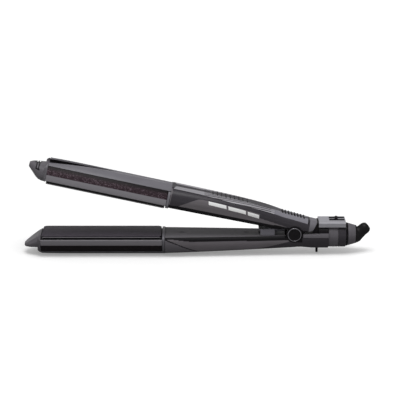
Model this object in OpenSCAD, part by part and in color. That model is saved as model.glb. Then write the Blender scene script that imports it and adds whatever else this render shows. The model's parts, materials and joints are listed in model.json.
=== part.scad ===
// Two-in-one hair styler. Two hinged arms carry flat floating plates on their inside and
// curved coated strips on their outside, so that the closed arms make a round barrel.
//
// Arm pieces are drawn in arm coordinates: X runs along the arm from the hinge pin, with the
// tip at -X, Y runs across, and Z is the height above the plane where the two plates meet.
// lower_arm() and upper_arm() put them in place. Tail pieces are drawn about the tail's axis.

/* [Heads] */
// Length of the barrel strips
barrel_l = 110.4; // [80:0.2:130]
// Radius of the curved strips
barrel_r = 18.6; // [18.2:0.1:19.5]
// Height of the strips' centre line above the plane where the plates meet
arc_h = 2.2; // [1.8:0.1:2.6]
// Height of the flat crown of an arm above that plane
arm_h = 20.4; // [19.8:0.1:20.6]
// Thickness of the strips and of the spine
strip_t = 1.6; // [1:0.1:2]
// Height at which a strip starts, above the plane where the plates meet
strip_foot = 3.4; // [3.2:0.1:4.2]
// Width of the spine between the two strips
spine_w = 24.4; // [20:0.2:26]
// Width of the tapered groove at its open end
groove_w = 16.4; // [10:0.2:18]
// Length of the tapered groove
groove_l = 57; // [30:1:70]
// Height of the floor of the tapered groove
groove_floor = 14.8; // [14:0.1:16]

/* [Plates] */
// How far a plate's edge lies inside the curved strips' outline
plate_inset = 2.6; // [2.4:0.1:3.6]
// Thickness of a plate
plate_t = 2.75; // [2:0.05:2.9]
// Clearance between a plate's end and the end of the barrel
plate_end_gap = 0.7; // [0.4:0.1:2]
// Radius of a plate's corners
plate_corner = 3.5; // [1:0.5:6]
// Travel of a floating plate
plate_float = 1; // [0.6:0.1:1]
// Height of a plate's face above the plane where the plates meet, half the closed gap
plate_gap = 0.15; // [0.1:0.05:0.3]
// How far the ceramic heater's edge lies inside a plate's edge
heater_inset = 10.1; // [9.6:0.1:12]
// Thickness of the ceramic heater
heater_t = 2.5; // [1.5:0.1:2.7]
// Outer diameter of a plate spring
spring_d = 5; // [4:0.1:6]
// Length of a plate spring, from the plate's back to the bay's ceiling
spring_l = 5.9; // [5.7:0.1:6.5]

/* [Head frame] */
// Clearance under the head frame's side walls when a plate is pressed in
frame_clear = 0.4; // [0.3:0.1:0.8]
// How far a plate reaches past the bay under it, on each side
plate_lip = 1.4; // [1.2:0.1:2]
// Width of the wire duct
duct_w = 16; // [10:0.5:18]
// Height of the wire duct's floor
duct_floor = 10.8; // [10.6:0.1:11.4]
// Clear height of the wire duct
duct_h = 2; // [1.8:0.1:2.4]

/* [Tips and collars] */
// Length of the lower tip cap
lower_tip_l = 15.7; // [12:0.1:20]
// Length of the upper tip cap
upper_tip_l = 18.5; // [12:0.1:22]
// Width of the collar between barrel and handle
collar_w = 2.7; // [2:0.1:5]
// How far the collar lies inside the strips' outline
collar_inset = 0.4; // [0.2:0.1:1]
// Height of the collar's foot above the plane where the plates meet
collar_foot = 0.4; // [0.3:0.1:0.8]

/* [Handles] */
// Length of a handle from the hinge pin to the collar
handle_l = 117.9; // [90:0.5:140]
// How far a handle's side lies inside the strips' outline at the collar
handle_inset = 0.6; // [0.3:0.1:1.4]
// Half width of a handle at the hinge
handle_w1 = 12.2; // [12:0.1:12.6]
// Crown height of the lower handle at the collar
lower_crown0 = 18.6; // [18.4:0.1:19.4]
// Crown height of the lower handle at the hinge
lower_crown1 = 13.9; // [13.7:0.1:14.8]
// Crown height of the upper handle at the collar
upper_crown0 = 19.5; // [19:0.1:20.4]
// Crown height of the upper handle where its rear part starts
upper_crown1 = 15.8; // [15.4:0.1:16.6]
// Crown height of the upper handle at its rear end cap
upper_crown2 = 14.4; // [14:0.1:15.2]
// Height of the handles' inner faces above the plane where the plates meet
inner_face = 1.6; // [1.3:0.1:2]
// Thickness of the inner covers
cover_t = 1.6; // [1.2:0.1:2]
// Wall of the outer shells
wall = 2; // [1.6:0.1:2.4]
// Depth of the trim pieces let into the upper shell
trim_t = 0.8; // [0.5:0.1:1]

/* [Hinge] */
// Angle between the arms when open
open_angle = 12.3; // [8:0.1:14]
// Diameter of the hinge pin
pin_d = 4; // [3:0.1:5]
// Diametral clearance of the knuckle on the pin
pin_fit = 0.12; // [0.06:0.02:0.2]
// Radius of the hinge ears
ear_r = 7.5; // [7:0.1:8]
// Half width across the inside of the hinge ears
ear_in = 8.8; // [8.6:0.1:9.4]
// Radius of the knuckle
knuckle_r = 6.4; // [5.5:0.1:6.8]
// Diameter of the hinge caps
cap_d = 11.4; // [9:0.1:12]
// Width of the light ring round a hinge cap
cap_ring_w = 0.65; // [0.4:0.05:1]
// How far a hinge cap stands proud of its ear
cap_t = 1.1; // [0.6:0.1:1.6]

/* [Tail] */
// Radius of the tail barrel
tail_r = 12.6; // [12:0.1:12.8]
// How far the tail's axis lies below the hinge pin
tail_drop = 3.1; // [2.6:0.1:3.6]
// Distance from the hinge pin to the front of the raised tail
tail_front = 22.5; // [22.4:0.1:24]
// Length of the raised tail cover
tail_l = 8.7; // [7:0.1:12]
// Radius of the tail band and of the end ring
band_r = 11.6; // [11.2:0.1:11.9]
// Length of the tail band
band_l = 8.9; // [7:0.1:12]
// Length of the tail end ring
end_ring_l = 6.8; // [6:0.1:10]
// Distance from the hinge pin to the rest peg
peg_x = 21.2; // [18:0.1:22]
// Diameter of the rest peg
peg_d = 2.2; // [1.6:0.1:3]

/* [Switch pod] */
// Width of the pod
pod_w = 21; // [18:0.2:22]
// Height of the pod's top above the tail's axis
pod_top = 14.3; // [14:0.1:15]
// Height of the pod's base above the tail's axis
pod_base = 9.4; // [9:0.1:10]
// Width of the pod's edge chamfer
pod_chamfer = 1.9; // [1:0.1:2.4]
// Travel of the switch nub
switch_travel = 5; // [3:0.5:6]
// Length of the switch nub
nub_l = 2.4; // [2:0.1:3]

/* [Cord swivel] */
// Length of the swivel cone
cone_l = 9.5; // [8:0.1:12]
// Radius of the cone at the tail
cone_r0 = 10.9; // [10:0.1:11.1]
// Radius of the cone at the cord outlet
cone_r1 = 8.2; // [7.2:0.1:8.6]
// Radius of the swivel neck
neck_r = 5.9; // [5:0.1:6.5]
// Radius of the cord outlet
outlet_r = 5.3; // [5:0.1:6]
// Length of the cord outlet's axis
outlet_l = 8.4; // [7:0.1:12]
// Angle of the cord outlet above the tail's axis
outlet_angle = 40; // [0:1:45]
// Radius of the cord's bore
cord_r = 3.3; // [2.5:0.1:3.6]
// Depth of the cord's bore
cord_depth = 9; // [6:0.5:10]

/* [Plate lock] */
// Length of the lock's thumb block
lock_l = 13.1; // [10:0.1:14]
// Width of the thumb block
lock_w = 19; // [14:0.2:19.4]
// Height of the thumb block
lock_h = 6; // [5:0.1:6.4]
// Distance from the hinge pin to the thumb block
lock_x = 17.9; // [17.6:0.1:20]
// Travel of the lock
lock_travel = 3; // [2:0.1:3]
// Reach of the lock's hook
hook_l = 1.5; // [1:0.1:2]

/* [Hidden] */

eps = 0.01;
fit = 0.1;
slide_gap = 0.2;
seam = 0.3;
$fn = 96;
hull_fn = 32;

black = "#1b1a1c";
satin_grey = "#5c5a60";
dark_grey = "#353338";
coat = "#3a2c36";
light = "#9a989e";

// Widths that follow the barrel
plate_w = 2 * (barrel_r - plate_inset);
bay_w = plate_w - 2 * plate_lip;
heater_w = plate_w - 2 * heater_inset;
handle_w0 = barrel_r - handle_inset;

// Stations along an arm
barrel_rear = -handle_l - collar_w;
barrel_front = barrel_rear - barrel_l;
plate_rear = barrel_rear - plate_end_gap;
plate_l = barrel_l - 2 * plate_end_gap;
plate_back = plate_gap + plate_t;
frame_foot = plate_back + plate_float + frame_clear;
bay_top = plate_back + spring_l;
rib_h = 3;
rib_w = 1.4;
split = inner_face + cover_t;
spigot_l = 12;
spigot_inset = 4.3;
cover_rear = -ear_r - 0.8;
mid_t = 0.89;
rear_start = -handle_l * (1 - mid_t);
cap_start = 11.7;
cap_l = 7.3;
cap_end = cap_start + cap_l;
cut_start = 4;
cut_angle = 24.3;

// Stations along the tail
sleeve_l = 3;
tail_end = tail_front + tail_l;
band_end = tail_end + fit + band_l;
ring_start = band_end + slide_gap;
ring_end = ring_start + end_ring_l;
cone_start = ring_end + 0.4;
cone_end = cone_start + cone_l;
outlet_root = 1;
outlet_tip_x = cone_end + outlet_root + outlet_l * cos(outlet_angle);
pod_front = tail_front - slide_gap;
pod_back = ring_end - 0.4;
nub_x = 38.5;
slot_gap = 0.25;
wedge_foot = 17.1;
neck_x0 = ring_end - wall - 3;

// Where the whole tool stands: the origin is under its middle, on the surface it lies on
hinge_z = arm_h;
hinge_x = (lower_tip_l + fit - barrel_front - outlet_tip_x - outlet_r) / 2;

// Screws that hold an inner cover to its outer shell
screw_x = [-0.37 * handle_l, -0.87 * handle_l];
screw_r = 1.2;
screw_head_r = 2.4;
screw_head_t = 1.2;
screw_l = 9;
boss_r = 3.2;

// Room in the knuckle for the opening spring
spring_room_r = 4.6;
spring_room_w = 9;

// The lock's stem and the foot under it, in the lower inner cover's slot
lock_front = -lock_x - lock_l;
stem_x0 = lock_front + 2;
stem_x1 = -lock_x - 4;
stem_w = 5.4;
lock_foot_w = 9.2;

module lower_arm() {
  translate([hinge_x, 0, hinge_z]) mirror([0, 0, 1]) children();
}

module upper_arm() {
  translate([hinge_x, 0, hinge_z]) rotate([0, open_angle, 0]) children();
}

module at_hinge() {
  translate([hinge_x, 0, hinge_z]) children();
}

module tail() {
  translate([hinge_x, 0, hinge_z - tail_drop]) children();
}

module near_side() {
  mirror([0, 1, 0]) children();
}

// Extrudes a Y-Z outline along X, from x0
module along_x(x0, length) {
  translate([x0, 0, 0]) rotate([90, 0, 90]) linear_extrude(length) children();
}

// Extrudes an X-Z outline across Y, from y0
module across_y(y0, width) {
  translate([0, y0 + width, 0]) rotate([90, 0, 0]) linear_extrude(width) children();
}

// Extrudes an X-Y outline upwards from z0
module plan(z0, height) {
  translate([0, 0, z0]) linear_extrude(height) children();
}

module box(x0, x1, y0, y1, z0, z1) {
  translate([x0, y0, z0]) cube([x1 - x0, y1 - y0, z1 - z0]);
}

module rod_y(x, z, r, y0, y1) {
  translate([x, y0, z]) rotate([-90, 0, 0]) cylinder(r = r, h = y1 - y0);
}

module rod_x(x0, x1, y, z, r) {
  translate([x0, y, z]) rotate([0, 90, 0]) cylinder(r = r, h = x1 - x0);
}

// ---------------------------------------------------------------- barrel

module barrel_outline(inset, foot) {
  intersection() {
    translate([0, arc_h]) circle(barrel_r - inset);
    translate([-barrel_r, foot]) square([2 * barrel_r, arm_h - inset - foot]);
  }
}

module groove() {
  half = groove_w / 2;
  front = barrel_front - upper_tip_l;
  plan(groove_floor, arm_h) polygon([
    [front, -half], [barrel_front, -half], [barrel_front + groove_l, 0],
    [barrel_front, half], [front, half]
  ]);
}

module strip() {
  along_x(barrel_front, barrel_l) intersection() {
    difference() {
      barrel_outline(0, strip_foot);
      barrel_outline(strip_t, 0);
    }
    translate([spine_w / 2 + fit, strip_foot]) square([barrel_r, arm_h]);
  }
}

module spine() {
  color(satin_grey) difference() {
    along_x(barrel_front, barrel_l + collar_w) intersection() {
      difference() {
        barrel_outline(0, strip_foot);
        barrel_outline(strip_t, 0);
      }
      translate([-spine_w / 2, strip_foot]) square([spine_w, arm_h]);
    }
    groove();
  }
}

module head_frame() {
  color(black) {
    difference() {
      along_x(barrel_front, barrel_l) difference() {
        barrel_outline(strip_t + fit, frame_foot);
        translate([-bay_w / 2, 0]) square([bay_w, bay_top]);
        duct_outline();
      }
      groove();
    }
    along_x(barrel_rear - eps, spigot_l) difference() {
      barrel_outline(spigot_inset, bay_top - 1);
      duct_outline();
    }
  }
}

module duct_outline() {
  translate([-duct_w / 2, duct_floor]) square([duct_w, duct_h]);
}

// The collar passes under the spine and over the head frame's spigot
module collar() {
  color(dark_grey) along_x(barrel_rear, collar_w) difference() {
    barrel_outline(collar_inset, collar_foot);
    barrel_outline(spigot_inset - fit, bay_top - 1 - fit);
    difference() {
      translate([-spine_w / 2 - fit, collar_foot]) square([spine_w + 2 * fit, arm_h]);
      barrel_outline(strip_t + fit, 0);
    }
  }
}

// One cross-section of a tip cap: four round corners
module tip_slice(x, half, low, high, corner) {
  along_x(x, eps) for (side = [-1, 1], z = [low + corner, high - corner])
    translate([side * (half - corner), z]) circle(corner, $fn = hull_fn);
}

// The beak at an arm's tip, with the flange that closes the barrel's end. Its underside rises to
// low_end, and its back drops to high_end
module tip_cap(length, low_end, rise, high_end) {
  x0 = barrel_front - fit;
  flange = 0.18 * length;
  root_half = 0.785 * barrel_r;
  root_low = 0.6;
  color(satin_grey) difference() {
    union() {
      hull() for (slice = [[0, 1, 3], [0.45, 0.84, 3], [0.75, 0.62, 2.6], [0.92, 0.41, 2], [1, 0.21, 1.2]])
        tip_slice(x0 - slice[0] * length, slice[1] * root_half,
          root_low + (low_end - root_low) * pow(slice[0], rise),
          groove_floor - (groove_floor - high_end) * pow(slice[0], 4), slice[2]);
      hull() {
        along_x(x0 - 0.6, 0.6) barrel_outline(0.5, strip_foot);
        tip_slice(x0 - flange, 0.97 * root_half, strip_foot, groove_floor, 3);
      }
    }
    groove();
  }
}

// The lower beak slopes away from the plate at once, the upper one only near its end
module lower_tip_cap() {
  lower_arm() tip_cap(lower_tip_l, 11.2, 1.1, 14.2);
}

module upper_tip_cap() {
  upper_arm() tip_cap(upper_tip_l, 6.6, 3.4, 11.9);
}

// ---------------------------------------------------------------- plates

module plate_outline() {
  half = plate_w / 2;
  r = plate_corner;
  translate([plate_rear - plate_l / 2, 0]) {
    square([plate_l - 2 * r, plate_w], center = true);
    square([plate_l, plate_w - 2 * r], center = true);
    for (x = [-1, 1], y = [-1, 1])
      translate([x * (plate_l / 2 - r), y * (half - r)]) circle(r);
  }
}

module plate() {
  rib_in = heater_w / 2 + fit;
  rib_end = 8;
  color(coat) union() {
    plan(plate_gap, plate_t) plate_outline();
    for (side = [-1, 1])
      box(plate_rear - plate_l + rib_end, plate_rear - rib_end,
        side * (rib_in + rib_w / 2) - rib_w / 2, side * (rib_in + rib_w / 2) + rib_w / 2,
        plate_back - eps, plate_back + rib_h);
  }
}

module heater() {
  end = 15;
  color("#d8d4cc") box(plate_rear - plate_l + end, plate_rear - end, -heater_w / 2,
    heater_w / 2, plate_back, plate_back + heater_t);
}

module thermal_fuse() {
  fuse_r = 1.05;
  fuse_l = 11;
  mid = plate_rear - plate_l / 2;
  color("#c9b27a") rod_x(mid - fuse_l / 2, mid + fuse_l / 2, 0,
    plate_back + heater_t + fuse_r, fuse_r);
}

module plate_springs() {
  y = bay_w / 4 + heater_w / 4;
  color(light) for (x = [0.15, 0.85], side = [-1, 1])
    translate([plate_rear - x * plate_l, side * y, plate_back]) difference() {
      cylinder(d = spring_d, h = bay_top - plate_back);
      translate([0, 0, -eps]) cylinder(d = spring_d - 1.4, h = bay_top);
    }
}

// ---------------------------------------------------------------- handles

// One cross-section of a handle, with round shoulders and smaller round lower edges
module handle_slice(x, half, crown, inset, drop) {
  shoulder = 0.62 * half;
  edge = 3.6;
  along_x(x, eps) for (side = [-1, 1]) {
    translate([side * (half - shoulder), crown - shoulder])
      circle(shoulder - inset, $fn = hull_fn);
    translate([side * (half - edge), inner_face + edge - drop])
      circle(edge - inset, $fn = hull_fn);
  }
}

function handle_half(t) = handle_w0 + (handle_w1 - handle_w0) * pow(t, 1.2);
function lower_crown(t) = lower_crown0 + (lower_crown1 - lower_crown0) * pow(t, 1.3);
function upper_crown(t) = upper_crown0 + (upper_crown1 - upper_crown0) * pow(t / mid_t, 5);

// Each handle body is drawn in from its outside by inset. A cavity's floor is dropped so that
// it opens through the inner face.
module lower_handle(inset, drop = 0) {
  hull() for (t = [0, 0.25, 0.5, 0.75, 1.06])
    handle_slice(-handle_l * (1 - t), handle_half(t), lower_crown(t), inset, drop);
}

module upper_handle_front(inset, drop = 0) {
  hull() for (t = [0, 0.3, 0.55, 0.72, mid_t])
    handle_slice(-handle_l * (1 - t), handle_half(t), upper_crown(t), inset, drop);
}

module upper_handle_rear(inset, drop = 0) {
  hull() {
    handle_slice(rear_start - eps, handle_half(mid_t), upper_crown1, inset, drop);
    handle_slice(cap_start, handle_w1 - 0.8, upper_crown2, inset, drop);
  }
}

module above(z) {
  box(-2 * handle_l, handle_l, -2 * barrel_r, 2 * barrel_r, z, z + 2 * arm_h);
}

module screw_bosses(crown) {
  for (x = screw_x) translate([x, 0, split + fit])
    cylinder(r = boss_r, h = crown - wall / 2 - split);
}

module screw_holes() {
  for (x = screw_x) translate([x, 0, 0]) cylinder(r = screw_r, h = inner_face + 1 + screw_l);
}

module shell_screws() {
  color(light) for (x = screw_x) translate([x, 0, inner_face + fit]) {
    cylinder(r = screw_head_r, h = screw_head_t);
    cylinder(r = screw_r, h = screw_l);
  }
}

// The slab between inner face and split, with the screws' countersinks
module inner_cover_solid() {
  difference() {
    intersection() {
      children();
      box(-handle_l, cover_rear, -2 * barrel_r, 2 * barrel_r, inner_face, split);
    }
    screw_holes();
    for (x = screw_x) translate([x, 0, 0])
      cylinder(r = screw_head_r + fit, h = inner_face + fit + screw_head_t);
  }
}

module wires() {
  r = duct_h / 2 - fit;
  head_reach = 20;
  end_gap = 22;
  color("#d9d5cd") for (side = [-1, 1])
    rod_x(barrel_rear - head_reach, cover_rear - end_gap, side * (boss_r + r + 1),
      duct_floor + duct_h / 2, r);
}

// ---------------------------------------------------------------- lower arm and tail

module tail_tube(x0, x1, r_out, r_in) {
  difference() {
    rod_x(x0, x1, 0, 0, r_out);
    rod_x(x0 - 1, x1 + 1, 0, 0, r_in);
  }
}

module ears() {
  for (y = [-handle_w1, ear_in]) {
    rod_y(0, 0, ear_r, y, y + handle_w1 - ear_in);
    box(-ear_r, ear_r, y, y + handle_w1 - ear_in, 0, lower_crown1 - 5);
  }
}

module lower_outer_shell() {
  color(dark_grey) lower_arm() difference() {
    union() {
      intersection() {
        difference() {
          union() {
            lower_handle(0);
            rod_x(0.02 * handle_l, tail_end, 0, tail_drop, tail_r);
          }
          lower_handle(wall, 2 * wall);
          rod_x(-ear_r, tail_end + 1, 0, tail_drop, tail_r - wall);
        }
        above(split);
      }
      ears();
      intersection() {
        screw_bosses(lower_crown0);
        lower_handle(wall / 2);
      }
    }
    rod_y(0, 0, pin_d / 2, -2 * handle_w1, 2 * handle_w1);
    both_sides() rod_y(0, 0, cap_d / 2 + cap_ring_w + 2 * fit, handle_w1, 2 * handle_w1);
    screw_holes();
    translate([peg_x, 0, 0]) cylinder(d = peg_d, h = arm_h);
  }
}

module lower_inner_cover() {
  color(satin_grey) lower_arm() difference() {
    inner_cover_solid() lower_handle(0);
    box(stem_x0 - lock_travel - slot_gap, stem_x1 + slot_gap, -stem_w / 2 - slot_gap,
      stem_w / 2 + slot_gap, 0, arm_h);
  }
}

// A flat deck under the upper arm's end, a wedge that fills the corner behind that end, then the
// top half of the tail with its front wall
module tail_top_cover() {
  deck_top = tail_drop - slide_gap;
  wedge_top = pod_top - 1.7;
  color(dark_grey) tail() {
    intersection() {
      union() {
        tail_tube(tail_front, tail_end, tail_r, tail_r - wall);
        rod_x(tail_front, tail_front + wall, 0, 0, tail_r);
      }
      box(0, tail_end, -tail_r, tail_r, 0, tail_r + 1);
    }
    intersection() {
      rod_x(ear_r + slide_gap + seam, tail_front + eps, 0, 0, tail_r);
      difference() {
        box(0, tail_front + eps, -tail_r, tail_r, 0, deck_top);
        box(-1, tail_front, -tail_r + wall, tail_r - wall, -1, deck_top - wall);
      }
    }
    across_y(-pod_w / 2 + wall, pod_w - 2 * wall) polygon([
      [wedge_foot, deck_top - wall / 2], [tail_front + wall / 2, deck_top - wall / 2],
      [tail_front + wall / 2, pod_base - fit], [pod_front - fit, pod_base - fit],
      [pod_front - fit, wedge_top], [wedge_foot + 0.58 * (wedge_top - 2 * deck_top), wedge_top],
      [wedge_foot, 2 * deck_top]
    ]);
  }
}

module tail_band() {
  color(satin_grey) tail() {
    tail_tube(tail_end + fit, band_end, band_r, band_r - wall);
    tail_tube(tail_end - sleeve_l, band_end, tail_r - wall - fit, band_r - wall);
  }
}

// The end ring is plugged into the band, and its end wall holds the swivel's neck
module tail_end_ring() {
  bore_r = band_r - 2 * wall;
  color(dark_grey) tail() {
    tail_tube(ring_start, ring_end, band_r, bore_r);
    tail_tube(band_end - sleeve_l, ring_start + eps, band_r - wall - fit, bore_r);
    tail_tube(ring_end - wall, ring_end, bore_r + eps, neck_r + slide_gap);
  }
}

module pod_outline() {
  half = pod_w / 2;
  c = pod_chamfer;
  polygon([
    [-half, pod_base], [half, pod_base], [half, pod_top - 0.7 * c], [half - c, pod_top],
    [-half + c, pod_top], [-half, pod_top - 0.7 * c]
  ]);
}

fascia_t = 0.7;
fascia_w = pod_w - 2 * pod_chamfer - 0.6;
slot_w = 3.2;
slot_x0 = nub_x - switch_travel - nub_l / 2 - slot_gap;
slot_x1 = nub_x + nub_l / 2 + slot_gap;
fascia_x0 = pod_front + 0.8;
fascia_x1 = pod_back - 0.8;
switch_x0 = tail_end + 1;
switch_l = 14;
switch_w = 7.2;
switch_top = pod_top - fascia_t - 0.8;

module switch_pod() {
  color(satin_grey) tail() difference() {
    along_x(pod_front, pod_back - pod_front) pod_outline();
    rod_x(0, tail_end + fit, 0, 0, tail_r + eps);
    rod_x(tail_end, pod_back + 1, 0, 0, band_r + eps);
    box(fascia_x0, fascia_x1, -fascia_w / 2, fascia_w / 2, pod_top - fascia_t, pod_top + 1);
    box(switch_x0, switch_x0 + switch_l + 2 * fit, -switch_w / 2 - fit, switch_w / 2 + fit, 0,
      switch_top + fit);
    box(slot_x0, slot_x1, -slot_w / 2, slot_w / 2, 0, pod_top + 1);
  }
}

// A black plate let into the pod's top, with a guide rail on each side of the slot
module switch_fascia() {
  rail_w = 1.3;
  rail_h = 0.9;
  rail_y = 2.8;
  color(black) tail() {
    difference() {
      box(fascia_x0 + fit, fascia_x1 - fit, -fascia_w / 2 + fit, fascia_w / 2 - fit,
        pod_top - fascia_t, pod_top);
      box(slot_x0, slot_x1, -slot_w / 2, slot_w / 2, 0, pod_top + 1);
    }
    for (side = [-1, 1])
      box(slot_x0, fascia_x1 - fit, side * (rail_y + rail_w / 2) - rail_w / 2,
        side * (rail_y + rail_w / 2) + rail_w / 2, pod_top - eps, pod_top + rail_h);
  }
}

module slide_switch() {
  color(black) tail() difference() {
    box(switch_x0 + fit, switch_x0 + fit + switch_l, -switch_w / 2, switch_w / 2, 0,
      switch_top);
    rod_x(tail_end, pod_back + 1, 0, 0, band_r + eps);
  }
}

module switch_nub() {
  grip_h = 2.4;
  grip_w = 5;
  color(light) tail() {
    box(nub_x - nub_l / 2, nub_x + nub_l / 2, -slot_w / 2 + slot_gap, slot_w / 2 - slot_gap,
      switch_top + fit, pod_top + slide_gap + eps);
    along_x(nub_x - nub_l / 2, nub_l) hull() {
      translate([-grip_w / 2, pod_top + slide_gap]) square([grip_w, grip_h / 2]);
      translate([-grip_w / 3, pod_top + slide_gap]) square([2 * grip_w / 3, grip_h]);
    }
  }
}

// A pin through the tail's underside, held by its head inside
module rest_peg() {
  tip_h = 0.6;
  head_t = 0.8;
  top = hinge_z - tail_drop - tail_r + wall + 1;
  color(dark_grey) translate([hinge_x + peg_x, 0, 0]) {
    cylinder(d1 = peg_d - tip_h, d2 = peg_d, h = tip_h);
    translate([0, 0, tip_h]) cylinder(d = peg_d, h = top - tip_h);
    translate([0, 0, top - head_t]) cylinder(d = peg_d + 2 * head_t, h = head_t);
  }
}

module hinge_pin() {
  color(light) at_hinge() rod_y(0, 0, pin_d / 2, -handle_w1, handle_w1);
}

module hinge_cap() {
  color(black) at_hinge() translate([0, handle_w1, 0]) rotate([-90, 0, 0]) {
    cylinder(d = cap_d, h = 0.7 * cap_t);
    translate([0, 0, 0.7 * cap_t]) cylinder(d1 = cap_d, d2 = cap_d - 1.2, h = 0.3 * cap_t);
  }
}

module cap_ring() {
  color(light) at_hinge() translate([0, handle_w1, 0]) rotate([-90, 0, 0]) difference() {
    cylinder(r = cap_d / 2 + fit + cap_ring_w, h = 0.8 * cap_t);
    translate([0, 0, -1]) cylinder(r = cap_d / 2 + fit / 2, h = cap_t + 2);
  }
}

// A torsion spring round the pin, its leg under the lower inner cover
module opening_spring() {
  coil_r = spring_room_r - 0.4;
  wire = 1.2;
  half = spring_room_w / 2 - 0.6;
  leg_l = 20;
  color(light) at_hinge() {
    difference() {
      rod_y(0, 0, coil_r, -half, half);
      rod_y(0, 0, coil_r - wire, -half - 1, half + 1);
    }
    rod_x(-leg_l, 0, -half + wire, -split - wire / 2 - fit, wire / 2);
  }
}

// ---------------------------------------------------------------- upper arm

// Height of the slope that the upper arm's rear end keeps above, clear of the tail
function floor_line(x) = inner_face + eps + (x - cut_start) * tan(cut_angle);

module rear_limit() {
  run = 60;
  across_y(-2 * barrel_r, 4 * barrel_r) polygon([
    [-3 * handle_l, -arm_h], [cut_start, -arm_h], [cut_start, inner_face],
    [cut_start + run, inner_face + run * tan(cut_angle)],
    [cut_start + run, 3 * arm_h], [-3 * handle_l, 3 * arm_h]
  ]);
}

// Room in the upper arm for the lower arm's hinge ears
module ear_relief() {
  for (y = [-2 * handle_w1, ear_in - slide_gap])
    rod_y(0, 0, ear_r + seam + fit, y, y + 2 * handle_w1 - ear_in + slide_gap);
}

// Shoulder strips, near the crown on each side
trim_front = -handle_l + 1.6;
trim_rear = -22;
trim_y0 = 8.9;
trim_y1 = 7.7;
trim_w = 3.4;

module trim_strip_region() {
  plan(arm_h / 2, 2 * arm_h) polygon([
    [trim_front, trim_y0], [trim_front + 1.5, trim_y0 + trim_w], [trim_rear, trim_y1 + trim_w],
    [trim_rear, trim_y1]
  ]);
}

module rear_panel_region() {
  panel_y = 5.7;
  panel_rear = cap_start - 1;
  intersection() {
    plan(arm_h / 2, 2 * arm_h) polygon([
      [trim_rear + seam, trim_y1], [trim_rear + seam, trim_y1 + trim_w],
      [rear_start / 2, 2 * handle_w1], [panel_rear, 2 * handle_w1], [panel_rear, panel_y],
      [rear_start / 2, panel_y]
    ]);
    above(0.57 * arm_h);
  }
}

// Dark panel at the front of each side, its lower edge rising to the rear in a curve
side_panel_l = 33;
side_panel_top = 16.6;

module side_panel_region() {
  front = -handle_l + 1;
  l = side_panel_l;
  low = split + 0.8;
  rise = side_panel_top - low;
  across_y(handle_w1 - 2, barrel_r) polygon([
    [front, low], [front + 0.21 * l, low + 0.09 * rise], [front + 0.39 * l, low + 0.35 * rise],
    [front + 0.52 * l, low + 0.52 * rise], [front + 0.64 * l, low + 0.69 * rise],
    [front + 0.74 * l, low + 0.8 * rise], [front + l, low + 0.83 * rise],
    [front + l, low + 0.94 * rise], [front, low + rise]
  ]);
}

// Three label windows in a row, falling towards the hinge
bar_h = 3.6;
bar_slant = 0.9;
bar_x0 = -0.7 * handle_l;
bar_pitch = 18;
bar_l = 16.8;
last_bar_l = 11.6;

function bar_low(x) = 11.3 - 0.056 * (x - bar_x0);

module label_bar_region() {
  across_y(-2 * barrel_r, 2 * barrel_r - handle_w1 + 4) for (i = [0:2]) {
    x0 = bar_x0 + i * bar_pitch;
    x1 = x0 + (i < 2 ? bar_l : last_bar_l);
    polygon([
      [x0 + bar_slant, bar_low(x0)], [x1, bar_low(x1)],
      [x1 - bar_slant, bar_low(x1) + bar_h], [x0, bar_low(x0) + bar_h]
    ]);
  }
}

module both_sides() {
  children();
  near_side() children();
}

// A skin of the front or rear of the upper handle
module front_skin() {
  difference() {
    upper_handle_front(0);
    upper_handle_front(trim_t);
  }
}

module rear_skin() {
  difference() {
    upper_handle_rear(0);
    upper_handle_rear(trim_t);
  }
}

module upper_outer_shell() {
  color(dark_grey) upper_arm() difference() {
    union() {
      difference() {
        union() {
          upper_handle_front(0);
          upper_handle_rear(0);
        }
        upper_handle_front(wall, 2 * wall);
        upper_handle_rear(wall, 2 * wall);
        box(-2 * handle_l, handle_l, -2 * barrel_r, 2 * barrel_r, -arm_h, split);
        difference() {
          union() {
            both_sides() trim_strip_region();
            both_sides() side_panel_region();
            label_bar_region();
          }
          upper_handle_front(trim_t);
          box(rear_start, handle_l, -2 * barrel_r, 2 * barrel_r, -arm_h, 3 * arm_h);
        }
        difference() {
          both_sides() rear_panel_region();
          box(-2 * handle_l, rear_start - eps, -barrel_r, barrel_r, 0, 2 * arm_h);
          upper_handle_rear(trim_t);
        }
      }
      screw_bosses(upper_crown0);
    }
    ear_relief();
    difference() {
      above(-arm_h);
      rear_limit();
    }
    screw_holes();
  }
}

// The lock's block passes through this cover, and its hook slides over the opening's front edge
module upper_inner_cover() {
  reach = lock_w / 2 + 0.7;
  front = lock_front - lock_travel - seam;
  tongue_room = 6;
  color(satin_grey) upper_arm() {
    difference() {
      inner_cover_solid() upper_handle_front(0);
      box(front, -lock_x + 1.5, -reach, reach, 0, arm_h);
      box(-lock_x, 0, -tongue_room, tongue_room, 0, arm_h);
    }
    board_posts();
  }
}

// The circuit board stands on four posts of the inner cover
board_l = 46;
board_w = 21;
board_t = 1.6;
board_x = -0.83 * handle_l;
post_h = 1.6;
post_r = 1.5;
board_z = split + post_h;

module board_posts() {
  for (x = [2.5 * post_r, board_l - 2.5 * post_r], y = [-1, 1])
    translate([board_x + x, y * (board_w / 2 - 2 * post_r), split - eps])
      cylinder(r = post_r, h = post_h);
}

// The board with a relay, a chip and a capacitor
module control_board() {
  top = board_z + board_t;
  relay_h = 4;
  chip_h = 2;
  can_r = 1.9;
  color("#2f5d3a") upper_arm() {
    box(board_x, board_x + board_l, -board_w / 2, board_w / 2, board_z, top);
    translate([board_x, 0, top - eps]) {
      box(0.17 * board_l, 0.39 * board_l, -board_w / 3, 0, 0, relay_h);
      box(0.57 * board_l, 0.72 * board_l, board_w / 20, 0.38 * board_w, 0, chip_h);
      rod_x(0.52 * board_l, 0.78 * board_l, -board_w / 4, can_r - 0.1, can_r);
    }
  }
}

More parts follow.
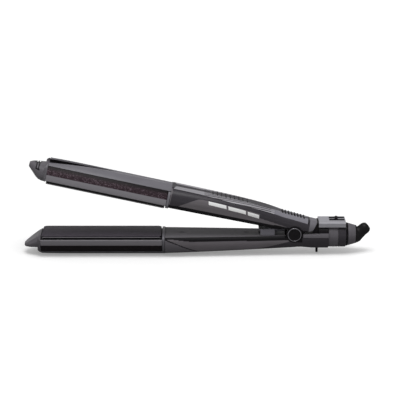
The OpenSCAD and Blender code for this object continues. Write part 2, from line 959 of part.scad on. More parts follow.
function rear_crown(x) = upper_crown1
  + (upper_crown2 - upper_crown1) * (x - rear_start) / (cap_start - rear_start);

// The knuckle on the pin, the block over it, the column under the shell's crown and the floor
// that closes the arm's rear above the tail
module hinge_knuckle() {
  half = ear_in - seam;
  pocket = spring_room_w / 2;
  block_h = 8.5;
  column = 4.4;
  floor_t = 1.6;
  floor_w = handle_w1 - wall - 1.2;
  floor_x = cap_start + 0.44 * cap_l;
  color(black) upper_arm() difference() {
    union() {
      rod_y(0, 0, knuckle_r, -half, half);
      box(-knuckle_r, knuckle_r, -half, half, 0, block_h);
      across_y(-column, 2 * column) polygon([
        [-knuckle_r, block_h - eps], [knuckle_r, block_h - eps],
        [knuckle_r, rear_crown(knuckle_r) - wall - fit],
        [-knuckle_r, rear_crown(-knuckle_r) - wall - fit]
      ]);
      across_y(-floor_w, 2 * floor_w) polygon([
        [cut_start, inner_face + eps], [floor_x, floor_line(floor_x)],
        [floor_x, floor_line(floor_x) + floor_t], [knuckle_r, floor_line(knuckle_r) + floor_t],
        [cut_start, floor_line(cut_start) + 2 * floor_t]
      ]);
    }
    rod_y(0, 0, (pin_d + pin_fit) / 2, -barrel_r, barrel_r);
    rod_y(0, 0, spring_room_r, -pocket, pocket);
    box(-barrel_r, pin_d / 2, -pocket, pocket, -arm_h, spring_room_r);
    ear_relief();
  }
}

// Closes the arm's rear end. Its end face slants forwards, down to the slope above the tail
module rear_end_cap() {
  toe = cap_start + 0.53 * cap_l;
  recess_l = 0.47 * cap_l;
  heel = cap_end - 0.08 * cap_l;
  color(satin_grey) upper_arm() intersection() {
    difference() {
      hull() {
        handle_slice(cap_start + fit, handle_w1 - 0.8, upper_crown2, 0, 0);
        handle_slice(cap_end, handle_w1 - 1.6, upper_crown2, 0, 0);
      }
      box(cap_start, cap_start + recess_l, -handle_w1 + wall, handle_w1 - wall, 0,
        upper_crown2 - 2 * wall);
    }
    across_y(-barrel_r, 2 * barrel_r) polygon([
      [cap_start, 0], [toe, 0], [toe, floor_line(toe) - 0.4], [heel, upper_crown2],
      [heel, arm_h], [cap_start, arm_h]
    ]);
    rear_limit();
  }
}

// Ribbed shoulder strip let into the front of the shell
module far_trim_strip() {
  color(light) upper_arm() intersection() {
    front_skin();
    trim_strip_region();
  }
}

module near_trim_strip() {
  color(light) upper_arm() intersection() {
    front_skin();
    near_side() trim_strip_region();
  }
}

module far_side_panel() {
  color(black) upper_arm() intersection() {
    front_skin();
    side_panel_region();
  }
}

module near_side_panel() {
  color(black) upper_arm() intersection() {
    front_skin();
    near_side() side_panel_region();
  }
}

module far_rear_panel() {
  color(satin_grey) upper_arm() intersection() {
    rear_skin();
    rear_panel_region();
    above(inner_face);
  }
}

module near_rear_panel() {
  color(satin_grey) upper_arm() intersection() {
    rear_skin();
    near_side() rear_panel_region();
    above(inner_face);
  }
}

module label_bars() {
  color("white") upper_arm() intersection() {
    front_skin();
    label_bar_region();
  }
}

// ---------------------------------------------------------------- lock and swivel

module lock_slider() {
  base = inner_face - slide_gap;
  neck_z = lock_h / 2 - 0.3;
  neck_l = 0.6;
  ring_l = 1.7;
  tongue_l = 0.58 * lock_l;
  grooves = 4;
  groove_step = 2.4;
  groove_d = 0.4;
  foot_t = 1.4;
  foot_top = -cover_t - 2 * slide_gap;
  color(satin_grey) at_hinge() translate([0, 0, -base]) {
    difference() {
      box(lock_front, -lock_x, -lock_w / 2, lock_w / 2, 0, lock_h);
      for (i = [1:grooves]) box(lock_front + i * groove_step,
        lock_front + i * groove_step + 2 * groove_d, -lock_w, lock_w, lock_h - groove_d,
        lock_h + 1);
    }
    across_y(-lock_w / 2, lock_w) polygon([
      [lock_front + eps, lock_h], [lock_front - hook_l, lock_h],
      [lock_front - hook_l, lock_h - 0.6], [lock_front + eps, lock_h - 1]
    ]);
    rod_x(-lock_x - eps, -lock_x + neck_l, 0, neck_z, 1.6);
    rod_x(-lock_x + neck_l - eps, -lock_x + neck_l + ring_l, 0, neck_z, 2.6);
    translate([-lock_x + neck_l + ring_l - eps, 0, neck_z]) rotate([0, 90, 0])
      cylinder(r1 = 2.3, r2 = 1.4, h = tongue_l);
    box(stem_x0, stem_x1, -stem_w / 2, stem_w / 2, foot_top - eps, eps);
    box(stem_x0, stem_x1, -lock_foot_w / 2, lock_foot_w / 2, foot_top - foot_t, foot_top);
  }
}

cone_slope = (cone_r0 - cone_r1) / cone_l;

// The grey band lies in a groove round the cone
band_x0 = 2.9;
band_x1 = 8.4;
band_depth = 0.6;

module swivel_cone() {
  color(black) tail() {
    translate([cone_start, 0, 0]) rotate([0, 90, 0]) rotate_extrude() polygon([
      [0, 0], [cone_r0, 0], [cone_r0 - band_x0 * cone_slope, band_x0],
      [cone_r0 - band_x0 * cone_slope - band_depth, band_x0],
      [cone_r0 - band_x1 * cone_slope - band_depth, band_x1],
      [cone_r0 - band_x1 * cone_slope, band_x1], [cone_r1, cone_l], [0, cone_l]
    ]);
    rod_x(neck_x0, cone_start + eps, 0, 0, neck_r);
  }
}

module swivel_band() {
  color(satin_grey) tail() translate([cone_start, 0, 0]) rotate([0, 90, 0])
    rotate_extrude() polygon([
      [cone_r0 - band_x0 * cone_slope, band_x0],
      [cone_r0 - band_x0 * cone_slope - band_depth, band_x0],
      [cone_r0 - band_x1 * cone_slope - band_depth, band_x1],
      [cone_r0 - band_x1 * cone_slope, band_x1]
    ]);
}

// A spring ring on the neck, inside the end ring
module swivel_retainer() {
  ring_w = 0.9;
  color(light) tail() tail_tube(neck_x0 + 1, ring_end - wall - slide_gap, neck_r + ring_w, neck_r);
}

module cord_outlet() {
  skirt_l = 3;
  color(black) tail() translate([cone_end, 0, 0]) difference() {
    union() {
      rotate([0, 90, 0]) cylinder(r1 = cone_r1, r2 = outlet_r, h = skirt_l);
      translate([outlet_root, 0, 0]) rotate([0, 90 - outlet_angle, 0]) {
        sphere(outlet_r);
        cylinder(r = outlet_r, h = outlet_l);
        translate([0, 0, outlet_l]) sphere(outlet_r);
      }
    }
    box(-2 * barrel_r, 0, -barrel_r, barrel_r, -barrel_r, barrel_r);
    translate([outlet_root, 0, 0]) rotate([0, 90 - outlet_angle, 0])
      translate([0, 0, outlet_l + outlet_r - cord_depth])
        cylinder(r = cord_r, h = cord_depth + 1);
  }
}

lower_outer_shell();
lower_inner_cover();
lower_arm() head_frame();  // lower_head_frame
color(coat) lower_arm() near_side() strip();  // lower_near_strip
color(coat) lower_arm() strip();  // lower_far_strip
lower_arm() spine();  // lower_spine
lower_tip_cap();
lower_arm() collar();  // lower_collar
lower_arm() plate_springs();  // lower_plate_springs
lower_arm() shell_screws();  // lower_shell_screws
lower_arm() wires();  // lower_wires
tail_top_cover();
tail_band();
tail_end_ring();
switch_pod();
switch_fascia();
slide_switch();
rest_peg();
hinge_pin();
near_side() hinge_cap();  // near_hinge_cap
hinge_cap();  // far_hinge_cap
near_side() cap_ring();  // near_cap_ring
cap_ring();  // far_cap_ring
opening_spring();
lower_arm() plate();  // lower_plate
lower_arm() heater();  // lower_heater
lower_arm() thermal_fuse();  // lower_thermal_fuse
upper_outer_shell();
upper_inner_cover();
upper_arm() head_frame();  // upper_head_frame
color(coat) upper_arm() near_side() strip();  // upper_near_strip
color(coat) upper_arm() strip();  // upper_far_strip
upper_arm() spine();  // upper_spine
upper_tip_cap();
upper_arm() collar();  // upper_collar
upper_arm() plate_springs();  // upper_plate_springs
upper_arm() shell_screws();  // upper_shell_screws
upper_arm() wires();  // upper_wires
hinge_knuckle();
rear_end_cap();
near_trim_strip();
far_trim_strip();
near_side_panel();
far_side_panel();
near_rear_panel();
far_rear_panel();
label_bars();
control_board();
upper_arm() plate();  // upper_plate
upper_arm() heater();  // upper_heater
upper_arm() thermal_fuse();  // upper_thermal_fuse
lock_slider();
switch_nub();
swivel_cone();
swivel_band();
swivel_retainer();
cord_outlet();
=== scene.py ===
import json
import math

import bmesh
import bpy
from mathutils import Matrix, Vector


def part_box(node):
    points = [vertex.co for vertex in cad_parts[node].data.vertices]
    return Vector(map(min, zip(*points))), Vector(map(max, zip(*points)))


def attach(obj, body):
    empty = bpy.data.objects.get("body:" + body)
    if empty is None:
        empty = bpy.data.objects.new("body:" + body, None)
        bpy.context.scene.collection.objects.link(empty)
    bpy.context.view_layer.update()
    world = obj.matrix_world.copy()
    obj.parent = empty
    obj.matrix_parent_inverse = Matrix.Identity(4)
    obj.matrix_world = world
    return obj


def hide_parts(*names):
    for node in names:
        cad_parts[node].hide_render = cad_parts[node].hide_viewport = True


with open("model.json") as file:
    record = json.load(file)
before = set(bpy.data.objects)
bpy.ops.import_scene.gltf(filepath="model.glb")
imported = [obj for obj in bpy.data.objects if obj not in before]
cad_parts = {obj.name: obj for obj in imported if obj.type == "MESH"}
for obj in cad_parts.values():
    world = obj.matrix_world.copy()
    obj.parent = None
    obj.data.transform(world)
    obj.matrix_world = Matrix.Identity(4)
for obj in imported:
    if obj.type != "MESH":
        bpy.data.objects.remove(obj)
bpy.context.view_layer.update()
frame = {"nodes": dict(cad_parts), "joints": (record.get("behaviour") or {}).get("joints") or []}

# -------- studio
# A wide white sweep under one soft lamp and a bright sky. Floor and sky show white to the eye
# and in reflections, darker overhead, and the floor keeps the shadow that the iron throws.
FLOOR_SIZE = 6
SKY_LIGHT = 0.46
KEY_PLACE = Vector((0.0, -0.3, 1.2))
KEY_SIZE = 0.8
KEY_POWER = 9
VIEW_AIM = Vector((0.0025, 0, 0.0497))
VIEW_TILT = math.radians(16.5)
VIEW_DISTANCE = 1.5
VIEW_LENS = 148.05
VIEW_SENSOR = 36


def node(tree, kind, values=(), links=(), **settings):
    """Adds one shader node, sets its properties and sockets, and links what feeds it."""
    added = tree.nodes.new("ShaderNode" + kind)
    for name, value in settings.items():
        setattr(added, name, value)
    for socket, value in dict(values).items():
        added.inputs[socket].default_value = value
    for socket, source in dict(links).items():
        tree.links.new(source, added.inputs[socket])
    return added


scene = bpy.context.scene
scene.view_settings.view_transform = "Standard"
bpy.ops.object.select_all(action="DESELECT")

sweep = bpy.data.worlds.new("studio_sweep")
scene.world = sweep
sweep.use_nodes = True
tree = sweep.node_tree
tree.nodes.clear()
rays = node(tree, "LightPath")
direction = node(tree, "TexCoord")
height = node(tree, "SeparateXYZ", links={0: direction.outputs["Generated"]})
overhead = node(tree, "MapRange", {"From Min": 0.02, "From Max": 0.24, "To Min": 1.0, "To Max": 0.2},
                {"Value": height.outputs["Z"]}, interpolation_type="SMOOTHSTEP")
seen = node(tree, "Mix", {"B": 1.0},
            {"Factor": rays.outputs["Is Camera Ray"], "A": overhead.outputs["Result"]})
strength = node(tree, "Mix", {"B": SKY_LIGHT},
                {"Factor": rays.outputs["Is Diffuse Ray"], "A": seen.outputs["Result"]})
sky = node(tree, "Background", {"Color": (1, 1, 1, 1)}, {"Strength": strength.outputs["Result"]})
node(tree, "OutputWorld", links={"Surface": sky.outputs[0]})

bpy.ops.mesh.primitive_plane_add(size=FLOOR_SIZE, location=(0, 0, 0))
floor = bpy.context.object
floor.name = "studio_floor"
paper = bpy.data.materials.new("white_paper_sweep")
paper.use_nodes = True
tree = paper.node_tree
tree.nodes.clear()
rays = node(tree, "LightPath")
shows = node(tree, "Math", links={0: rays.outputs["Is Camera Ray"], 1: rays.outputs["Is Glossy Ray"]},
             operation="MAXIMUM")
shows = node(tree, "Math", links={0: shows.outputs[0], 1: rays.outputs["Is Transmission Ray"]},
             operation="MAXIMUM")
spot = node(tree, "TexCoord")
away = node(tree, "VectorMath", links={0: spot.outputs["Object"]}, operation="LENGTH")
level = node(tree, "MapRange", {"From Min": 0.25, "From Max": 0.9, "To Min": 0.26, "To Max": 0.8},
             {"Value": away.outputs["Value"]}, interpolation_type="SMOOTHSTEP")
dimmed = node(tree, "MapRange", {"To Min": 0.15}, {"Value": rays.outputs["Is Camera Ray"]})
fill = node(tree, "Math", links={0: shows.outputs[0], 1: level.outputs["Result"]}, operation="MULTIPLY")
fill = node(tree, "Math", links={0: fill.outputs[0], 1: dimmed.outputs["Result"]}, operation="MULTIPLY")
tone = node(tree, "Mix", {"A": (0.3, 0.3, 0.3, 1), "B": (0.86, 0.86, 0.86, 1)},
            {"Factor": rays.outputs["Is Camera Ray"]}, data_type="RGBA")
sheet = node(tree, "BsdfDiffuse", links={"Color": tone.outputs["Result"]})
glow = node(tree, "Emission", {"Color": (1, 1, 1, 1)}, {"Strength": fill.outputs[0]})
both = node(tree, "AddShader", links={0: sheet.outputs[0], 1: glow.outputs[0]})
node(tree, "OutputMaterial", links={"Surface": both.outputs[0]})
floor.data.materials.append(paper)

bpy.ops.object.light_add(type="AREA", location=KEY_PLACE)
key = bpy.context.object
key.name = "key_lamp"
key.data.shape = "DISK"
key.data.size = KEY_SIZE
key.data.energy = KEY_POWER
key.rotation_euler = (Vector() - KEY_PLACE).to_track_quat("-Z", "Y").to_euler()
bpy.ops.object.select_all(action="DESELECT")

bpy.ops.object.camera_add(
    location=VIEW_AIM + VIEW_DISTANCE * Vector((0, -math.cos(VIEW_TILT), math.sin(VIEW_TILT))),
    rotation=(math.pi / 2 - VIEW_TILT, 0, 0))
scene.camera = bpy.context.object
scene.camera.data.lens = VIEW_LENS
scene.camera.data.sensor_width = VIEW_SENSOR
bpy.ops.object.select_all(action="DESELECT")

# -------- barrel strips
# Four pressed aluminium strips curve round the outside of the two arms and make the round
# barrel when the arms close. They are sprayed with a dark plum ceramic coat full of metal flake.
MM = 0.001
BARREL_REAR = -120.6
BARREL_L = 110.4
BARREL_FRONT = BARREL_REAR - BARREL_L
BARREL_R = 18.6
ARC_H = 2.2
STRIP_T = 1.6
STRIP_FOOT = 3.4
STRIP_IN = 12.3
STRIP_EDGE = 0.45
STRIP_STEPS = 24
FLAKE = 0.7
# Heights over a strip's foot: where the grey band of painted reflection ends, and where the painted
# shade starts and where it is full
REFLECTION_BAND_H = 5.5
SHADE_FROM = 9.0
SHADE_TO = 11.5
# Added to that height past the band on the lower strips, so that they are in full painted shade there
LOWER_SHADE = 7
SIDES = (("near", -1), ("far", 1))

low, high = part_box("hinge_pin")
HINGE = (low + high) / 2
arm_hinge = next(j for j in frame["joints"] if j["name"] == "arm_hinge")
OPEN = math.radians(arm_hinge["range_deg"][1])
# An arm is made in its own millimetres: X runs along it, from the hinge pin's middle towards the
# tail, Y across, and Z from the plane where the plates meet to the crown. These put it in place.
UPPER_ARM = Matrix.Translation(HINGE) @ Matrix.Rotation(OPEN, 4, "Y") @ Matrix.Scale(MM, 4)
LOWER_ARM = Matrix.Translation(HINGE) @ Matrix.Diagonal((MM, MM, -MM, 1))
ARMS = (("lower", LOWER_ARM, "base"), ("upper", UPPER_ARM, "upper_arm"))


def linear(code):
    """The linear colour of an sRGB hex value."""
    parts = [int(code[i:i + 2], 16) / 255 for i in (1, 3, 5)]
    return tuple(p / 12.92 if p <= 0.04045 else ((p + 0.055) / 1.055) ** 2.4 for p in parts) + (1,)


def finish(name, **surface):
    """A new material with its Principled shader, set and ready for the patterns that feed it."""
    made = bpy.data.materials.new(name)
    made.use_nodes = True
    shader = made.node_tree.nodes["Principled BSDF"]
    for socket, value in surface.items():
        shader.inputs[socket.replace("_", " ")].default_value = value
    return made, made.node_tree, shader


def feed(tree, shader, **links):
    for socket, source in links.items():
        tree.links.new(source, shader.inputs[socket.replace("_", " ")])


def tones(ramp, *stops):
    """Sets a ramp's stops: the place along it, rising from stop to stop, and the sRGB colour."""
    points = ramp.color_ramp.elements
    for i, (at, code) in enumerate(stops):
        point = points[i] if i < 2 else points.new(at)
        point.color = linear(code)
        point.position = at


def flaked(name, dimple, *stops, **surface):
    """A ceramic coat full of metal flake. The real flake is 0.1 mm; it is drawn 0.7 mm across, so
    that it shows as the coarse sparkle of the real coat."""
    made, tree, shader = finish(name, **surface)
    place = node(tree, "TexCoord")
    flakes = node(tree, "TexVoronoi", {"Scale": 1 / (FLAKE * MM)}, {"Vector": place.outputs["Object"]})
    tint = node(tree, "ValToRGB", links={"Fac": flakes.outputs["Color"]})
    tones(tint, *stops)
    tilt = node(tree, "Bump", {"Strength": dimple, "Distance": 0.02 * MM},
                {"Height": flakes.outputs["Distance"]})
    feed(tree, shader, Normal=tilt.outputs["Normal"])
    return made, tree, shader, tint.outputs["Color"]


flake_coat_and_painted_light, tree, shader, flakes = flaked(
    "flake_ceramic_coat_and_painted_light", 0.35, (0.0, "#241a20"), (0.62, "#3b2e34"), (0.95, "#6d5f67"),
    Metallic=0.1, Roughness=0.42, Specular_IOR_Level=0.12)
# The coat is painted darker towards the crown, and darkest all over the lower strips past the band:
# this is painted shade. The grey band at the sheet's foot is a painted reflection of the bright
# surroundings.
painted_light_height = node(tree, "Attribute", attribute_name="painted_light_height")
painted_shade_share = node(tree, "MapRange",
             {"From Min": SHADE_FROM, "From Max": SHADE_TO, "To Min": 0.0, "To Max": 0.92},
             {"Value": painted_light_height.outputs["Fac"]})
deep = node(tree, "Mix", {"B": linear("#120e10")}, {"Factor": painted_shade_share.outputs["Result"], "A": flakes},
            data_type="RGBA")
edge = node(tree, "MapRange",
            {"From Min": REFLECTION_BAND_H - 0.2, "From Max": REFLECTION_BAND_H + 0.2, "To Min": 1.0, "To Max": 0.0},
            {"Value": painted_light_height.outputs["Fac"]})
with_painted_light = node(tree, "Mix", {"B": linear("#868388")},
              {"Factor": edge.outputs["Result"], "A": deep.outputs["Result"]}, data_type="RGBA")
feed(tree, shader, Base_Color=with_painted_light.outputs["Result"])


def alone(piece):
    """Makes one object the only selected and active one."""
    bpy.ops.object.select_all(action="DESELECT")
    piece.select_set(True)
    bpy.context.view_layer.objects.active = piece
    return piece


def modify(piece, kind, **settings):
    """Adds a modifier and applies it."""
    alone(piece)
    step = piece.modifiers.new(kind.lower(), kind)
    for name, value in settings.items():
        setattr(step, name, value)
    bpy.ops.object.modifier_apply(modifier=step.name)


def soften(piece, width, angle=35, segments=2):
    """Rounds the hard edges and smooths the shading between them."""
    if width:
        modify(piece, "BEVEL", width=width, segments=segments, limit_method="ANGLE",
               angle_limit=math.radians(angle), harden_normals=False)
    alone(piece)
    bpy.ops.object.shade_smooth_by_angle(angle=math.radians(angle))


def seat(piece, place, body, coat, slot, *nodes):
    """Puts a piece that was made in millimetres where it belongs, and gives it its finish."""
    piece.data.transform(place)
    if place.determinant() < 0:
        piece.data.flip_normals()
    piece.data.materials.clear()
    piece.data.materials.append(coat)
    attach(piece, body)
    if nodes:
        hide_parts(*nodes)
    bpy.ops.object.select_all(action="DESELECT")
    return piece


def coat_or_shade_faces(piece, coat, place, chosen):
    """Lays second finishes and painted shade on faces chosen by their middle, in the place's own
    millimetres.
    """
    piece.data.materials.append(coat)
    back = place.inverted()
    for face in piece.data.polygons:
        if chosen(back @ face.center):
            face.material_index = len(piece.data.materials) - 1


def closed(piece):
    """Merges a spun mesh's seams, turns it right side out and leaves edit mode."""
    bpy.ops.mesh.select_all(action="SELECT")
    bpy.ops.mesh.remove_doubles(threshold=1e-4)
    bpy.ops.mesh.normals_make_consistent(inside=False)
    bpy.ops.object.mode_set(mode="OBJECT")
    return piece


def rolled_sheet(name, x0, x1, radius, start, sweep_angle, steps):
    """A straight edge along X, spun about the barrel's centre line into a curved sheet."""
    bpy.ops.mesh.primitive_plane_add(size=1)
    piece = bpy.context.object
    piece.name = name
    across = (math.cos(start) * radius, ARC_H + math.sin(start) * radius)
    bpy.ops.object.mode_set(mode="EDIT")
    mesh = bmesh.from_edit_mesh(piece.data)
    bmesh.ops.delete(mesh, geom=[v for v in mesh.verts if v.co.y < 0], context="VERTS")
    for v in mesh.verts:
        v.co = (x0 if v.co.x < 0 else x1, across[0], across[1])
    bmesh.update_edit_mesh(piece.data)
    bpy.ops.mesh.select_all(action="SELECT")
    bpy.ops.mesh.spin(steps=steps, angle=-sweep_angle, center=(0, 0, ARC_H), axis=(1, 0, 0))
    return closed(piece)


def face_away(piece, centre):
    """Turns the faces of an open sheet so that they look away from a line along X."""
    face = piece.data.polygons[len(piece.data.polygons) // 2]
    out = Vector((0, face.center.y - centre[0], face.center.z - centre[1]))
    if face.normal.dot(out) < 0:
        piece.data.flip_normals()


def thicken(sheet, depth, edge, angle, segments=2, centre=(0, 8)):
    """Turns an open sheet outwards, gives it depth behind its face, and rounds its edges."""
    face_away(sheet, centre)
    modify(sheet, "SOLIDIFY", thickness=depth, offset=-1)
    soften(sheet, edge, angle, segments)


foot_angle = math.asin((STRIP_FOOT - ARC_H) / BARREL_R)
edge_angle = math.acos(STRIP_IN / BARREL_R)
for arm, place, body in ARMS:
    for side, sign in SIDES:
        strip = rolled_sheet(f"{arm}_{side}_barrel_strip", BARREL_FRONT, BARREL_REAR, BARREL_R,
                             foot_angle, edge_angle - foot_angle, STRIP_STEPS)
        if sign < 0:
            strip.data.transform(Matrix.Diagonal((1, -1, 1, 1)))
        thicken(strip, STRIP_T, STRIP_EDGE, 40, 3, centre=(0, ARC_H))
        # Height over the foot, raised past the grey band on the lower strips: it steers the painted shade
        # and the painted reflection
        painted_light_levels = strip.data.attributes.new("painted_light_height", "FLOAT", "POINT")
        for v in strip.data.vertices:
            level = v.co.z - STRIP_FOOT
            darker = LOWER_SHADE if arm == "lower" and level > REFLECTION_BAND_H + 0.1 else 0
            painted_light_levels.data[v.index].value = level + darker
        seat(strip, place, body, flake_coat_and_painted_light, "coated_metal", f"{arm}_{side}_strip")

# -------- plates
# Flat heated aluminium plates, ground smooth and coated like the strips, with round corners
# and a rolled edge. Two ribs on the back guide each plate in its bay.
PLATE_HALF = 16.0
PLATE_L = BARREL_L - 1.4
PLATE_REAR = BARREL_REAR - 0.7
PLATE_GAP = 0.15
PLATE_T = 2.75
PLATE_CORNER = {"lower": 3.5, "upper": 2.0}
PLATE_EDGE = 0.2
CORNER_STEPS = 8
SIDE_SHADE_FADE = {"lower": 1, "upper": 6}
RIB_IN = 6.0
RIB_W = 1.4
RIB_H = 3.0
RIB_END = 8.0

plate_coat_and_painted_light, tree, shader, flakes = flaked(
    "plate_ceramic_coat_and_painted_light", 0.2, (0.0, "#3a363c"), (1.0, "#544e58"),
    Metallic=0.15, Roughness=0.5, Specular_IOR_Level=0.25)
# Down the long sides the coat gives way to painted light: a dark corner and then black, which are
# painted shade, with a bright line between them, which is a painted highlight. On the upper plate the
# black starts almost at the corner.
depth = node(tree, "Attribute", attribute_name="painted_side_depth")
side = node(tree, "ValToRGB", links={"Fac": depth.outputs["Fac"]})
side.color_ramp.interpolation = "CONSTANT"
tones(side, (0.0, "#1c1a1d"), (0.34, "#8f8c91"), (0.58, "#0c0b0c"))
below = node(tree, "Math", {1: 0.14}, {0: depth.outputs["Fac"]}, operation="GREATER_THAN")
plate_with_painted_side = node(tree, "Mix", links={"Factor": below.outputs[0], "A": flakes, "B": side.outputs["Color"]},
             data_type="RGBA")
feed(tree, shader, Base_Color=plate_with_painted_side.outputs["Result"])


def block(name, x0, x1, y0, y1, z0, z1):
    bpy.ops.mesh.primitive_cube_add(size=1, location=((x0 + x1) / 2, (y0 + y1) / 2, (z0 + z1) / 2),
                                    scale=(x1 - x0, y1 - y0, z1 - z0))
    piece = bpy.context.object
    piece.name = name
    bpy.ops.object.transform_apply(location=True, scale=True)
    return piece


def joined(piece, *others):
    alone(piece)
    for other in others:
        other.select_set(True)
    bpy.context.view_layer.objects.active = piece
    bpy.ops.object.join()
    return piece


for arm, place, _ in ARMS:
    plate = block(f"{arm}_coated_plate", PLATE_REAR - PLATE_L, PLATE_REAR, -PLATE_HALF, PLATE_HALF,
                  PLATE_GAP, PLATE_GAP + PLATE_T)
    bpy.ops.object.mode_set(mode="EDIT")
    bpy.ops.mesh.select_mode(type="EDGE")
    bpy.ops.mesh.select_all(action="DESELECT")
    mesh = bmesh.from_edit_mesh(plate.data)
    for e in mesh.edges:
        if abs(e.verts[0].co.z - e.verts[1].co.z) > PLATE_T / 2:
            e.select = True
    mesh.select_flush_mode()
    bmesh.update_edit_mesh(plate.data)
    bpy.ops.mesh.bevel(offset=PLATE_CORNER[arm], segments=CORNER_STEPS)
    bpy.ops.mesh.select_mode(type="VERT")
    bpy.ops.object.mode_set(mode="OBJECT")
    soften(plate, PLATE_EDGE, 40)
    back = PLATE_GAP + PLATE_T
    for side in (-1, 1):
        middle = side * (RIB_IN + RIB_W / 2)
        rib = block("guide_rib", PLATE_REAR - PLATE_L + RIB_END, PLATE_REAR - RIB_END,
                    middle - RIB_W / 2, middle + RIB_W / 2, back, back + RIB_H)
        soften(rib, PLATE_EDGE, 40)
        joined(plate, rib)
    # How far into the painted shade and highlight of a long side each point lies
    depth = plate.data.attributes.new("painted_side_depth", "FLOAT", "POINT")
    for v in plate.data.vertices:
        share = min(max((abs(v.co.y) - PLATE_HALF + PLATE_CORNER[arm]) / PLATE_CORNER[arm], 0), 1)
        down = (v.co.z - PLATE_GAP) / PLATE_T
        depth.data[v.index].value = share * min(SIDE_SHADE_FADE[arm] * down, 1)
    seat(plate, place, f"{arm}_plate", plate_coat_and_painted_light, "coated_metal", f"{arm}_plate")

# -------- spines
# The back cover between each arm's two strips: a moulded heat resistant plastic, satin and mid
# grey, flat along its crown. A long V is cut into it from the tip, for the hair to slide in.
SPINE_HALF = 12.2
SPINE_REAR = -117.9
CROWN_H = 20.4
V_HALF = 9.2
V_L = 64.0
SPINE_STEPS = 20
SPINE_EDGE = 0.3
PLASTIC = {"IOR": 1.5, "Specular_IOR_Level": 0.2}


def grained(name, grain, relief=None, patch=None, tint=(), span=(0, 1), sheen=None, drift=None,
            **surface):
    """A finish with fine grain in it, whose tint and gloss vary a little.

    grain and patch are a noise's scale and detail, and relief is the grain's strength and depth in
    millimetres. The two tints lie at the ends of span. sheen and drift hold the lowest and highest
    roughness, which follows the grain or the patch."""
    made, tree, shader = finish(name, **surface)
    place = node(tree, "TexCoord")

    def noise(scale, detail):
        return node(tree, "TexNoise", {"Scale": scale, "Detail": detail},
                    {"Vector": place.outputs["Object"]}).outputs["Fac"]

    fine = noise(*grain)
    broad = noise(*patch) if patch else fine
    if tint:
        ramp = node(tree, "ValToRGB", links={"Fac": broad})
        tones(ramp, *zip(span, tint))
        feed(tree, shader, Base_Color=ramp.outputs["Color"])
    if relief:
        strength, deep = relief
        bump = node(tree, "Bump", {"Strength": strength, "Distance": deep * MM}, {"Height": fine})
        feed(tree, shader, Normal=bump.outputs["Normal"])
    for spread, source in ((sheen, fine), (drift, broad)):
        if spread:
            gloss = node(tree, "MapRange", {"To Min": spread[0], "To Max": spread[1]}, {"Value": source})
            feed(tree, shader, Roughness=gloss.outputs["Result"])
    return made


def cut(point, facing, **how):
    """Cuts the whole mesh along a plane, in edit mode."""
    bpy.ops.mesh.select_all(action="SELECT")
    bpy.ops.mesh.bisect(plane_co=point, plane_no=facing, **how)


satin_plastic = grained("satin_pps_plastic", (900, 3), relief=(0.12, 0.05), patch=(45, 2),
                        tint=("#6c6a70", "#757379"), span=(0.3, 0.7), sheen=(0.28, 0.42),
                        Roughness=0.34, **PLASTIC)

for arm, place, body in ARMS:
    start = math.acos(SPINE_HALF / BARREL_R)
    spine = rolled_sheet(f"{arm}_spine_cover", BARREL_FRONT, SPINE_REAR, BARREL_R, start,
                         math.pi / 2 - start, SPINE_STEPS)
    bpy.ops.object.mode_set(mode="EDIT")
    cut((0, 0, CROWN_H), (0, 0, 1))
    cut((BARREL_FRONT, V_HALF, 0), Vector((V_HALF, V_L, 0)).normalized(), clear_inner=True)
    mesh = bmesh.from_edit_mesh(spine.data)
    for v in mesh.verts:
        v.co.z = min(v.co.z, CROWN_H)
    bmesh.update_edit_mesh(spine.data)
    bpy.ops.object.mode_set(mode="OBJECT")
    face_away(spine, (0, ARC_H))
    modify(spine, "MIRROR", use_axis=(False, True, False), merge_threshold=0.001)
    thicken(spine, STRIP_T, SPINE_EDGE, 30, centre=(0, ARC_H))
    seat(spine, place, body, satin_plastic, "heat_resistant_plastic", f"{arm}_spine")

# -------- tip caps
# Each arm ends in a moulded beak that stays cool to the touch. A flange closes the barrel, and
# the beak narrows to a lip, with a light chamfer below and two slots over each shoulder.
FIT = 0.1
TIP_L = {"lower": 15.7, "upper": 17.4}
GROOVE_FLOOR = 14.8
# Share of the length, half width, lowest and highest point, and chamfer of each cross-section.
# The lower beak slopes away from the plate at once, the upper one only near its end.
TIP_SECTIONS = {
    "upper": ((0.0, 14.6, 0.6, 14.4, 3.6), (0.22, 13.9, 0.7, 14.3, 3.6), (0.4, 12.6, 1.3, 14.2, 3.4),
              (0.57, 11.0, 3.2, 14.1, 3.0), (0.72, 9.0, 5.6, 13.9, 2.4), (0.84, 7.0, 7.3, 13.6, 1.8),
              (0.94, 4.8, 8.7, 13.2, 1.2), (1.0, 3.4, 9.4, 12.8, 0.9)),
    "lower": ((0.0, 14.6, 0.8, 13.1, 3.6), (0.22, 13.9, 2.7, 13.0, 3.4), (0.45, 12.3, 5.1, 13.0, 3.0),
              (0.64, 10.4, 7.2, 13.2, 2.5), (0.78, 8.4, 8.7, 13.4, 1.9), (0.88, 6.6, 9.8, 13.5, 1.3),
              (0.96, 4.6, 10.6, 13.6, 0.9), (1.0, 3.1, 11.0, 13.4, 0.6))}
SHOULDER_STEPS = 8
SLOTS = (0.47, 0.6)
SLOT_W = 1.0
SLOT_IN = 1.6
SLOT_FLOOR = {"lower": 12.4, "upper": 10.6}
FLANGE_T = 0.7
FLANGE_INSET = 0.5
FLANGE_HALF = 14.2
FLANGE_R = 3.0
FLANGE_SHARE = 0.18
ARC_STEPS = 10


def mirrored(x, side):
    """A closed ring across the arm at x, from the points down its +Y side."""
    return [(x, y, z) for y, z in side + [(-y, z) for y, z in side[-2:0:-1]]]


